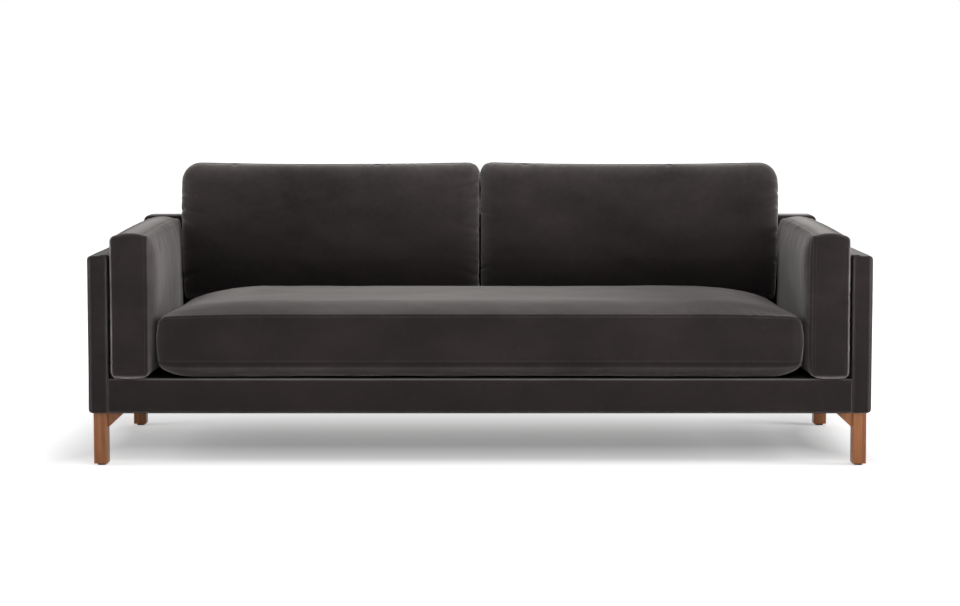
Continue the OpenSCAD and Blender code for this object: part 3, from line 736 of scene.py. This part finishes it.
# Painted shade on the boxing's ends; painted light on the top and the rolled underside
SEAT_END_PAINTED_SHADE = 0.7
SEAT_TOP_PAINTED_LIGHT = 0.25
SEAT_UNDER_PAINTED_LIGHT = 0.14


def seat_form(flat, half):
    """Its underside is rolled, and clears the front rail before it rests on the deck."""
    out = stuffed(flat, half, SEAT_CORNER, (SEAT_UNDER - SEAT_LIFTED, *SEAT_UNDER_RUN),
                  (SEAT_CROWN, *SEAT_TOP_RUN), slack=np.where(flat[:, 2] > 0, 0.75, 0))
    rest = clamped((half[1] - np.abs(flat[:, 1]) - SEAT_REST_FROM) / SEAT_REST_STEP)
    out[:, 2] -= SEAT_LIFTED * rest * (flat[:, 2] < -half[2] + SAME)
    return out


def seat_end_drop(u, share):
    """How far the top of the seat cushion has sunk beside the arm cushions."""
    ends = clamped((np.abs(u) / SEAT_HALF - 0.70) / 0.30) ** 1.6
    return SEAT_END_DIP * ends * (0.25 + 0.75 * clamped(share)) \
        + rounded(SEAT_HALF - np.abs(u), SEAT_END_ROUND)


def seat_place(p):
    u, v, w = p.T
    share = (v + seat_length / 2) / seat_length
    z = np.maximum(w + seat_middle_z, SEAT_Z)
    z = z - seat_end_drop(u, share) * clamped(w / SEAT_BOXING * 2)
    press_and_painted_shade = SEAT_PRESS * clamped(np.abs(u) / SEAT_HALF * 5 - 4) \
        * np.clip(share * 2.5 - 0.1, 0.1, 1)
    rear = inside_back(z) - SEAT_REAR_GAP
    y = CUSHION_FRONT + share * (rear - CUSHION_FRONT)
    return np.stack([u - np.sign(u) * press_and_painted_shade, y, z], 1)


def seat_rest(co):
    return held_clear(co, SEAT_Z, 1 * MM)


def zip_recess(shell, end, half_length):
    """Depth of the recess for a zip, in the boxing at the lower (-1) or upper (1) end of v."""
    u, v, w = shell.flat.T
    near = (shell.half[1] - v * end < SAME) & (np.abs(u) < half_length)
    depth = clamped((ZIP_WIDTH * 0.75 - np.abs(w)) / (6 * MM))
    return np.where(near, depth * ZIP_DEPTH, 0)


def seat_zip(co, shell):
    """The zip lies in the rear boxing."""
    co[:, 1] -= zip_recess(shell, 1, SEAT_HALF - ZIP_SHORT)
    return co


def seat_painted_shade(shell):
    """Painted shade on the ends of the boxing, where they stand against the arm cushions."""
    u, v, _ = shell.flat.T
    deep = v + shell.half[1]
    end = np.abs(u) > SEAT_HALF - SAME
    return SEAT_END_PAINTED_SHADE * end * clamped(deep / (20 * MM) - 1.5) * clamped(2 - deep / (110 * MM))


seat_shell = Shell(SEAT_HALF, seat_length / 2 - BULGE, SEAT_BOXING, 7.5 * MM)
# Painted light on both panels, faint painted highlights beside the seams, painted shade in the seam
seat_painted_light = panel_share(seat_shell, 1) * SEAT_TOP_PAINTED_LIGHT + panel_share(seat_shell, -1) * SEAT_UNDER_PAINTED_LIGHT
make_cushion("seat_cushion", "seat_cushion_cover", seat_shell, seat_form, seat_place, seat_rest,
             3, seat_zip, seam_lift=(TWIN_LIFT, GROOVE_LIFT), painted_tone=(2, 0.07, 0.15),
             rows=(4, 3), painted_light=seat_painted_light, press_and_painted_shade=seat_painted_shade(seat_shell), seam_shade=0.7)


def seat_top(x, y):
    """Height of the seat cushion's upper panel under a back cushion."""
    share = (y - CUSHION_FRONT) / seat_length
    flat = np.stack([x, share * seat_length - seat_length / 2,
                     np.full(len(x), SEAT_BOXING / 2)], 1)
    for axis in (0, 1):
        reach = seat_shell.half[axis]
        flat[:, axis] = np.clip(flat[:, axis], -reach, reach)
    return seat_place(seat_form(flat, seat_shell.half))[:, 2]


def make_seat_foam():
    """The foam inside, cut to the cover's shape, a little smaller."""
    low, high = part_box("seat_cushion_core")
    size = high - low
    shell = Shell(size.x / 2 - SEAT_PRESS, size.y / 2, size.z, 30 * MM, rows=(0, 8 * MM))
    u, v, w = stuffed(shell.flat, shell.half, 0.050, (0, 1, 1), (0, 1, 1), 0, 0, 0).T
    y = v + (low.y + high.y) / 2
    top = seat_top(u, y) - 6 * MM
    foot = low.z + rounded(size.x / 2 - np.abs(u), 0.040)
    share = w / size.z + 0.5
    z = foot + share * (np.minimum(high.z, top) - foot)
    rear = inside_back(z) - 8 * MM
    shell.move_to(np.stack([u, np.minimum(y, rear), z], 1))
    foam = finished_piece("seat_foam", shell.mesh, finishes["foam"], "seat_cushion", smooth=False)
    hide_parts("seat_cushion_core")


make_seat_foam()


# Back cushions: they stand on the seat and lean on the inside back

back_cushion_z = SEAT_Z + SEAT_UNDER + SEAT_BOXING + SEAT_CROWN + REST_GAP
back_thick = BACK_REAR_CROWN + BACK_BOXING + BACK_CROWN
back_length = (CUSHION_TOP - back_cushion_z - back_thick / 2 * math.sin(BACK_LEAN)) \
    / math.cos(BACK_LEAN)
back_half_v = (back_length + BACK_SINK) / 2 - BULGE
BACK_OUTER_CORNER = 0.056
BACK_INNER_CORNER = 0.024
BACK_INNER_BULGE = 0.0041
BACK_INNER_SHIFT = 0.0021
BACK_BULGE = 0.0075
BACK_LOWER_CORNER = 0.010
BACK_DROOP = 0.016
BACK_FRONT_CROWN = BACK_CROWN + 7 * MM
BACK_PINCH = 0.007
BACK_TUCK = 0.027
BACK_TOP_RISE = 0.0015
# Painted shade along the top boxing; painted light towards the top; painted sheen along top and side
# edges
BACK_TOP_PAINTED_SHADE = 0.75
BACK_PAINTED_LIGHT = 0.11
BACK_TOP_PAINTED_SHEEN = 0.75
BACK_SIDE_PAINTED_SHEEN = 0.40
BACK_RUN = 0.75
BACK_PLUMP = 0.42
BACK_BESIDE = 0.2
BACK_TUCK_UP_TO = 0.11


def back_form(flat, half):
    run = half[1] * BACK_RUN
    corner = np.where(flat[:, 0] > 0, BACK_OUTER_CORNER, BACK_INNER_CORNER)
    corner = np.where(flat[:, 1] > 0, corner, BACK_LOWER_CORNER)
    bulge = BACK_BULGE * clamped((flat[:, 0] + half[0]) / 0.03)
    out = stuffed(flat, half, corner, (BACK_REAR_CROWN, run, run), (BACK_FRONT_CROWN, run, run),
                  bulge, draw_u=0, plump=BACK_PLUMP, beside=BACK_BESIDE)
    out[:, 0] -= (BACK_BULGE - BULGE) * clamped(flat[:, 0] / half[0]) ** 6
    out[:, 1] += BACK_TOP_RISE * clamped(flat[:, 1] / half[1]) ** 4
    inner = clamped(-out[:, 0] / half[0]) ** 6
    touch = clamped(0.6 - flat[:, 2] / half[2] * 2)
    out[:, 0] -= (BACK_INNER_SHIFT + BACK_INNER_BULGE * touch) * inner
    lower = clamped(-out[:, 1] / half[1])
    outer = clamped(out[:, 0] / half[0]) ** 3
    out[:, 0] -= BACK_PINCH * lower * outer
    out[:, 1] -= BACK_DROOP * lower ** 3 * outer ** 3
    tuck = clamped(1 - (out[:, 1] + half[1]) / BACK_TUCK_UP_TO) ** 1.4
    out[:, 2] -= BACK_TUCK * tuck * clamped(out[:, 2] / half[2])
    return out


def back_placer(sign):
    def place(p):
        u, v, w = p.T
        up = v + (back_length - BACK_SINK) / 2
        deep = w + BACK_REAR_CROWN + BACK_BOXING / 2
        y = float(inside_back(back_cushion_z)) - REST_GAP + up * math.sin(BACK_LEAN) \
            - deep * math.cos(BACK_LEAN)
        z = back_cushion_z + up * math.cos(BACK_LEAN) + deep * math.sin(BACK_LEAN)
        return np.stack([(u + BACK_MIDDLE_X) * sign, y, z], 1)
    return place


def back_rest(co):
    return held_clear(co, seat_top(co[:, 0], co[:, 1]) + 1.2 * MM, REST_GAP)


def under_zip(half_length):
    """The zip lies in the lower boxing."""
    def zip_line(co, shell):
        co[:, 2] += zip_recess(shell, -1, half_length)
        return co
    return zip_line


# Creases seen in the photograph, in millimetres: side, its sign, place, reach, width, depth
BACK_CREASES = {
    "left": [(0, 1, 110, 30, 7, 3), (0, 1, 62, 50, 8, 3.4), (0, 1, 28, 26, 6, 2),
             (0, 1, -75, 30, 6, 1.8), (0, 1, -150, 45, 8, 2.8), (0, -1, 140, 50, 8, 3.6),
             (0, -1, 98, 40, 7, 3), (0, -1, 60, 34, 7, 2.6), (0, -1, -4, 48, 9, 3.4),
             (0, -1, -92, 30, 6, 2), (0, -1, -150, 40, 9, 3), (1, 1, 300, 20, 10, 1.8),
             (1, 1, -150, 22, 12, 1.6)],
    "right": [(0, -1, 52, 28, 6, 3.6), (0, -1, -128, 22, 5, 3.4), (0, -1, 130, 24, 8, 1.6),
              (0, 1, 120, 45, 8, 3.2), (0, 1, 70, 36, 7, 2.6), (0, 1, -20, 45, 8, 2.8),
              (0, 1, -105, 36, 7, 2.6), (1, 1, -330, 26, 14, 2.2), (1, 1, 120, 18, 10, 1.4)],
}


def back_painted_light(shell):
    """Painted light, lighter towards the top, and painted sheen where the panel rolls over to its
    edges.
    """
    u, v, _ = shell.flat.T
    painted_glow = BACK_TOP_PAINTED_SHEEN * np.exp((v - back_half_v) / (13 * MM)) \
        + BACK_SIDE_PAINTED_SHEEN * np.exp((np.abs(u) - BACK_HALF) / (12 * MM))
    return (BACK_PAINTED_LIGHT * clamped(v / back_half_v * 0.9 + 0.3) + painted_glow) * panel_share(shell, 1)


def back_painted_shade(shell):
    """Painted shade on the boxing between the two back cushions, and a little along their tops."""
    u, v, w = shell.flat.T
    between = (u < -BACK_HALF + SAME) * clamped((back_half_v - v - 20 * MM) / (20 * MM))
    above = BACK_TOP_PAINTED_SHADE * (v > back_half_v - SAME)
    return np.maximum(between, above) * clamped((shell.insets()[2] - 3 * MM) / (4 * MM))


for side, sign in SIDES.items():
    shell = Shell(BACK_HALF, back_half_v, BACK_BOXING, 6 * MM, flip=sign < 0)
    # A painted highlight beside the front seam, over the painted light and painted shade above
    make_cushion("back_cushion_" + side, "back_cushion_cover_" + side, shell, back_form,
                 back_placer(sign), back_rest, 5 + sign, under_zip(BACK_HALF - ZIP_SHORT),
                 BACK_CREASES[side], seam_lift=(GROOVE_LIFT, PIPED_LIFT), painted_tone=(1, 0, 0.28),
                 touching=True, painted_light=back_painted_light(shell), press_and_painted_shade=back_painted_shade(shell))


# Arm cushions: they stand on the deck between an arm panel and the seat cushion

arm_middle_x = ARM_LOW.x - 1 * MM - ARM_OUTER_CROWN - ARM_BOXING / 2
arm_length = float(inside_back(0.0)) - REST_GAP - CUSHION_FRONT
arm_half_v = (ARM_CUSHION_TOP - SEAT_Z) / 2
ARM_CORNER = 0.034
ARM_FRONT_TOP = 0.014
ARM_TOP_RISE = 0.003
ARM_TOP_TILT = 0.008
ARM_TOP_BULGE = 0.008
ARM_FOOT_OUTER = 0.022
ARM_FOOT_INNER = 0.028
ARM_FRONT_FOOT = 0.010
ARM_HEAD_OUTER = 0.015
ARM_HEAD_INNER = 0.007
ARM_FULLNESS = 0.008
# Painted light on the left inner panel, painted shade on the right one and beside the seat cushion
ARM_PAINTED_LIGHT = {"left": 0.24, "right": 0.0}
ARM_PAINTED_SHADE = {"left": 0.0, "right": 0.14}
ARM_SEAT_PAINTED_SHADE = 0.75
ARM_INNER_RUN = (0.110, 0.110)
ARM_OUTER_RUN = (0.120, 0.060)


def arm_form(flat, half):
    front = np.where(flat[:, 1] < 0, ARM_FRONT_FOOT, ARM_FRONT_TOP)
    corner = np.where(flat[:, 0] < 0, front, ARM_CORNER)
    bulge = np.where(flat[:, 1] > half[1] - 0.04, ARM_TOP_BULGE, BULGE)
    return stuffed(flat, half, corner, (ARM_CROWN, *ARM_INNER_RUN),
                   (ARM_OUTER_CROWN, *ARM_OUTER_RUN), bulge, draw_v=-ARM_TOP_RISE,
                   plump=np.where(flat[:, 2] > 0, 0, 0.2), slack=flat[:, 2] > 0)


def arm_placer(sign):
    def place(p):
        u, v, w = p.T
        share = (u + arm_length / 2) / arm_length
        tilt = ARM_TOP_TILT * (share - 0.4) * np.clip(v / arm_half_v + 1, 0, 2) / 2
        z = np.maximum(v + SEAT_Z + arm_half_v + tilt, SEAT_Z)
        spread = clamped(np.abs(w) / (ARM_BOXING / 2))
        foot = rounded(z - SEAT_Z, np.where(w > 0, ARM_FOOT_OUTER, ARM_FOOT_INNER))
        head = rounded(np.maximum(arm_half_v - v, 0),
                       np.where(w > 0, ARM_HEAD_OUTER, ARM_HEAD_INNER))
        w = w - np.sign(w) * (foot + head) * spread
        full = clamped(share * 2.2 - 0.2) * clamped(-v / arm_half_v * 0.8 + 0.8)
        full = full * clamped((0.80 - share) / 0.14)
        w = w - ARM_FULLNESS * full * clamped(-w / (ARM_BOXING / 2))
        rear = inside_back(z) - REST_GAP
        return np.stack([(w + arm_middle_x) * sign,
                         CUSHION_FRONT + share * (rear - CUSHION_FRONT), z], 1)
    return place


def arm_rest(co):
    co = held_clear(co, SEAT_Z, REST_GAP)
    reach = ARM_LOW.x - 1.2 * MM
    co[:, 0] = np.clip(co[:, 0], -reach, reach)
    return co


def arm_painted_shade(shell, side_shade):
    """Painted shade: on the front of the outer panel, below the top of the arm panel beside it,
    on the inner panel where the seat cushion stands against it, and over that whole panel
    by the second argument."""
    u, v, w = shell.flat.T
    deep = u + shell.half[0]
    z = v + SEAT_Z + arm_half_v
    below = clamped((ARM_HIGH.z - z) / (12 * MM))
    outer = (w > 0) * below * clamped(deep / (3 * MM) - 1) * clamped(2 - deep / (40 * MM))
    beside_seat = clamped((seat_middle_z + SEAT_BOXING / 2 - z) / (20 * MM))
    inner = ARM_SEAT_PAINTED_SHADE * beside_seat * clamped(deep / (22 * MM) - 0.5) \
        * clamped(2 - deep / (90 * MM))
    return np.maximum(outer, panel_share(shell, -1) * np.maximum(inner, side_shade))


for side, sign in SIDES.items():
    shell = Shell(arm_length / 2 - BULGE, arm_half_v, ARM_BOXING, 6.5 * MM, flip=sign < 0)
    # A strong painted highlight along the front lip and where the strip turns under at the foot
    make_cushion("arm_cushion_" + side, "arm_cushion_cover_" + side, shell, arm_form,
                 arm_placer(sign), arm_rest, 9 + sign,
                 under_zip(arm_length / 2 - BULGE - ZIP_SHORT), seam_lift=(LIP_LIFT, LIP_LIFT),
                 painted_tone=(0, 0.2, 1.8, 1.4), rows=(5, 5), painted_light=ARM_PAINTED_LIGHT[side] * panel_share(shell, -1),
                 press_and_painted_shade=arm_painted_shade(shell, ARM_PAINTED_SHADE[side]))


# Padded frame: arm panels, back and front rail, each a boxed cover drawn tight

def make_cover(name, node, shell, form, place, seed, seams=0.6, painted_tone=(0, 0.3, 0.3),
               press_and_painted_shade=0.0):
    """One cover of the frame. seams is how strongly its seams and puckers show."""
    co = place(form(shell.flat, shell.half))
    shell.move_to(co)
    lift = sewn(shell, GROOVE_LIFT, GROOVE_LIFT) * seams
    lift += seam_puckers(shell, seed, COVER_PUCKER_SPACING, COVER_PUCKER_DEPTH * seams)
    lift += broad_waves(shell.flat, seed, *COVER_WAVES)
    shell.move_to(co + shell.normals() * lift[:, None])
    # Painted highlights beside the seams, and painted shade where a neighbour stands close
    paint_light_and_shade(shell, *painted_tone, press_and_painted_shade=press_and_painted_shade)
    piece = finished_piece(name, shell.mesh, finishes["velvet"], "frame")
    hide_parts(node)


EDGE = 8 * MM
INNER_EDGE = 4 * MM
EDGE_RUN = (14 * MM, 14 * MM)
COVER_BULGE = 0.8 * MM
arm_size = ARM_HIGH - ARM_LOW
for side, sign in SIDES.items():
    shell = Shell(arm_size.y / 2, arm_size.z / 2, arm_size.x - EDGE - INNER_EDGE, 10 * MM,
                  flip=sign < 0)

    def arm_panel_form(flat, half):
        return stuffed(flat, half, EDGE, (INNER_EDGE, *EDGE_RUN), (EDGE, *EDGE_RUN),
                       COVER_BULGE, 0, 0)

    def arm_panel_place(p, sign=sign):
        middle = (ARM_LOW + ARM_HIGH) / 2
        return np.stack([(p[:, 2] + middle.x + (INNER_EDGE - EDGE) / 2) * sign,
                         p[:, 0] + middle.y, p[:, 1] + middle.z], 1)

    # Painted shade on the inner face just behind its front edge, where the arm cushion stands close
    deep = shell.flat[:, 0] + shell.half[0]
    inner = shell.flat[:, 2] < 0
    press_and_painted_shade = inner * clamped(deep / (2.5 * MM) - 1) * clamped(2 - deep / (30 * MM))
    make_cover("arm_panel_velvet_" + side, "arm_panel_" + side, shell, arm_panel_form,
               arm_panel_place, 20 + sign, press_and_painted_shade=press_and_painted_shade)
    make_stitches("arm_panel_stitches_" + side, shell, "frame")

back_size = BACK_HIGH - BACK_LOW
back_top_thick = BACK_HIGH.y - float(inside_back(BACK_HIGH.z))


def back_cover_form(flat, half):
    edge = (EDGE, *EDGE_RUN)
    return stuffed(flat, half, 20 * MM, edge, edge, COVER_BULGE, 0, 0)


def back_cover_place(p):
    z = p[:, 1] + (BACK_LOW.z + BACK_HIGH.z) / 2
    front = inside_back(z)
    share = p[:, 2] / back_top_thick + 0.5
    return np.stack([p[:, 0], front + share * (BACK_HIGH.y - front), z], 1)


shell = Shell(back_size.x / 2, back_size.z / 2, back_top_thick - 2 * EDGE, 12 * MM, flip=True)
make_cover("back_velvet", "back_cover", shell, back_cover_form, back_cover_place, 30)
make_stitches("back_stitches", shell, "frame")

rail_size = RAIL_HIGH - RAIL_LOW
RAIL_LIP = 0.0030
RAIL_DIP = 0.0075
RAIL_REACH = 3.5 * MM
RAIL_REAR_EDGE = 1 * MM
rail_boxing = rail_size.y - EDGE - RAIL_REAR_EDGE


def rail_form(flat, half):
    return stuffed(flat, half, 2 * MM, (EDGE, 1.5 * MM, 12 * MM),
                   (RAIL_REAR_EDGE, 1.5 * MM, 12 * MM), 0.2 * MM, 0, 0)


def rail_place(p):
    """Its ends reach a little way into the padding of the arm panels, and its top sinks behind
    a firm front lip."""
    middle = (RAIL_LOW + RAIL_HIGH) / 2
    deep = p[:, 2] + EDGE - rail_size.y / 2 + rail_boxing / 2
    behind = clamped((deep + rail_size.y / 2 - 6 * MM) / (8 * MM))
    top = clamped(p[:, 1] / (rail_size.z / 2) * 8 - 7)
    z = p[:, 1] + middle.z + top * (RAIL_LIP - RAIL_DIP * behind)
    return np.stack([p[:, 0], deep + middle.y, z], 1)


shell = Shell(rail_size.x / 2 + RAIL_REACH, rail_size.z / 2, rail_boxing, 9 * MM,
              rows=(0, 2.5 * MM, 5 * MM), flip=True)
# A strong painted highlight along the top front lip
make_cover("front_rail_velvet", "front_rail_cover", shell, rail_form, rail_place, 40, 0.0,
           (0, 1.6, 0.0))


# Sheets: decking over the springs and the dust cover under the frame

SHEET_CELL = 0.018
DECK_BORDER = 0.110
DECK_THICK = 1.2 * MM


def make_sheet(name, node, low, high, thick, sag, slot_name):
    """One sheet, stapled along its edges and hanging a little between them."""
    size = high - low
    bm = bmesh.new()
    steps = max(6, round(size.y / SHEET_CELL))
    bmesh.ops.create_grid(bm, x_segments=120, y_segments=steps, size=1)
    for vert in bm.verts:
        hollow = (1 - vert.co.x ** 4) * (1 - vert.co.y ** 4)
        ripple = noise.noise(Vector((vert.co.x * 9, vert.co.y * 4, 0.3))) * 0.3
        vert.co = (vert.co.x * size.x / 2, low.y + (vert.co.y + 1) / 2 * size.y,
                   (low.z + high.z) / 2 - sag * hollow * (1 + ripple))
    piece = finished_piece(name, mesh_of(bm, name), finishes[slot_name], "frame")
    wall = piece.modifiers.new("Thickness", "SOLIDIFY")
    wall.thickness = thick
    wall.offset = 0
    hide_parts(node)


seam_y = DECK_LOW.y + DECK_BORDER
make_sheet("decking", "deck_cloth", Vector((DECK_LOW.x, seam_y, DECK_LOW.z)), DECK_HIGH,
           DECK_THICK, 0.1 * MM, "decking")
make_sheet("deck_border", "deck_cloth", DECK_LOW, Vector((DECK_HIGH.x, seam_y, DECK_HIGH.z)),
           DECK_THICK, 0.0, "decking")
make_sheet("underside_cloth", "dust_cover", DUST_LOW, DUST_HIGH, 0.8 * MM, -1.5 * MM, "cambric")


# Studio: white floor and backdrop, soft light all round, camera as in the photograph

def make_stage():
    """A floor that takes the sofa's shadow and glows to the backdrop's white beyond it. Under the
    sofa it glows less, and less still towards the right: a painted shadow.
    """
    bm = bmesh.new()
    bmesh.ops.create_grid(bm, x_segments=2, y_segments=2, size=FLOOR_HALF)
    floor = add_object("studio_floor", mesh_of(bm, "studio_floor"))
    tree, shader, place = new_material("studio_floor")
    floor.data.materials.append(finishes["studio_floor"])
    feed(tree, shader, {"Base Color": (0.9, 0.9, 0.9, 1), "Roughness": 0.9,
                        "Specular IOR Level": 0.1})
    path = add_node(tree, "LightPath")
    seen = largest(tree, path.outputs["Is Camera Ray"], path.outputs["Is Glossy Ray"])
    seen = largest(tree, seen, path.outputs["Is Transmission Ray"])
    parts = add_node(tree, "SeparateXYZ", {0: place}).outputs
    beside = largest(tree, ranged(tree, parts[0], *GLOW_LEFT),
                     ranged(tree, parts[0], *GLOW_RIGHT))
    before = largest(tree, ranged(tree, parts[1], *GLOW_FRONT),
                     ranged(tree, parts[1], *GLOW_REAR))
    outside = largest(tree, beside, before)
    painted_shadow = times(tree, ranged(tree, parts[0], *PAINTED_SHADOW_RIGHT),
                   ranged(tree, outside, 0, 1, 1, 0))
    away = add_node(tree, "VectorMath", {0: place}, operation="LENGTH").outputs["Value"]
    near = ranged(tree, outside, 0, 1, GLOW_IN_SHADOW, GLOW_OUTSIDE)
    lift = plus(tree, ranged(tree, away, *GLOW_FAR), combined(tree, "SUBTRACT", near, painted_shadow))
    painted_glow = add_node(tree, "Emission", {"Color": (1, 1, 1, 1),
                                       "Strength": times(tree, seen, lift)})
    both = add_node(tree, "AddShader", {0: shader.outputs[0], 1: painted_glow.outputs[0]})
    feed(tree, tree.nodes["Material Output"], {"Surface": both.outputs[0]})


def make_world():
    """A white backdrop that lights the sofa much less than it shows."""
    world = bpy.data.worlds.new("studio")
    bpy.context.scene.world = world
    world.use_nodes = True
    tree = world.node_tree
    path = add_node(tree, "LightPath")
    seen = largest(tree, path.outputs["Is Camera Ray"], path.outputs["Is Transmission Ray"])
    feed(tree, tree.nodes["Background"], {
        "Color": (1, 1, 1, 1), "Strength": ranged(tree, seen, 0, 1, WORLD_LIGHT, 1.0)})


def make_lamp(name, place, target, size, power, spread=180):
    light = bpy.data.lights.new(name, "AREA")
    light.spread = math.radians(spread)
    light.shape = "RECTANGLE"
    light.size, light.size_y = size
    light.energy = power
    lamp = add_object(name, light)
    lamp.location = place
    lamp.rotation_euler = (Vector(target) - Vector(place)).to_track_quat("-Z", "Y").to_euler()


def make_camera():
    data = bpy.data.cameras.new("camera")
    data.lens, data.sensor_width = CAMERA_LENS, CAMERA_SENSOR
    camera = add_object("camera", data)
    camera.location = CAMERA_PLACE
    camera.rotation_euler = (math.radians(CAMERA_TILT), 0, 0)
    bpy.context.scene.camera = camera


make_stage()
make_world()
for name, lamp in LAMPS.items():
    make_lamp(name, *lamp)
make_camera()
bpy.context.scene.view_settings.view_transform = "Standard"
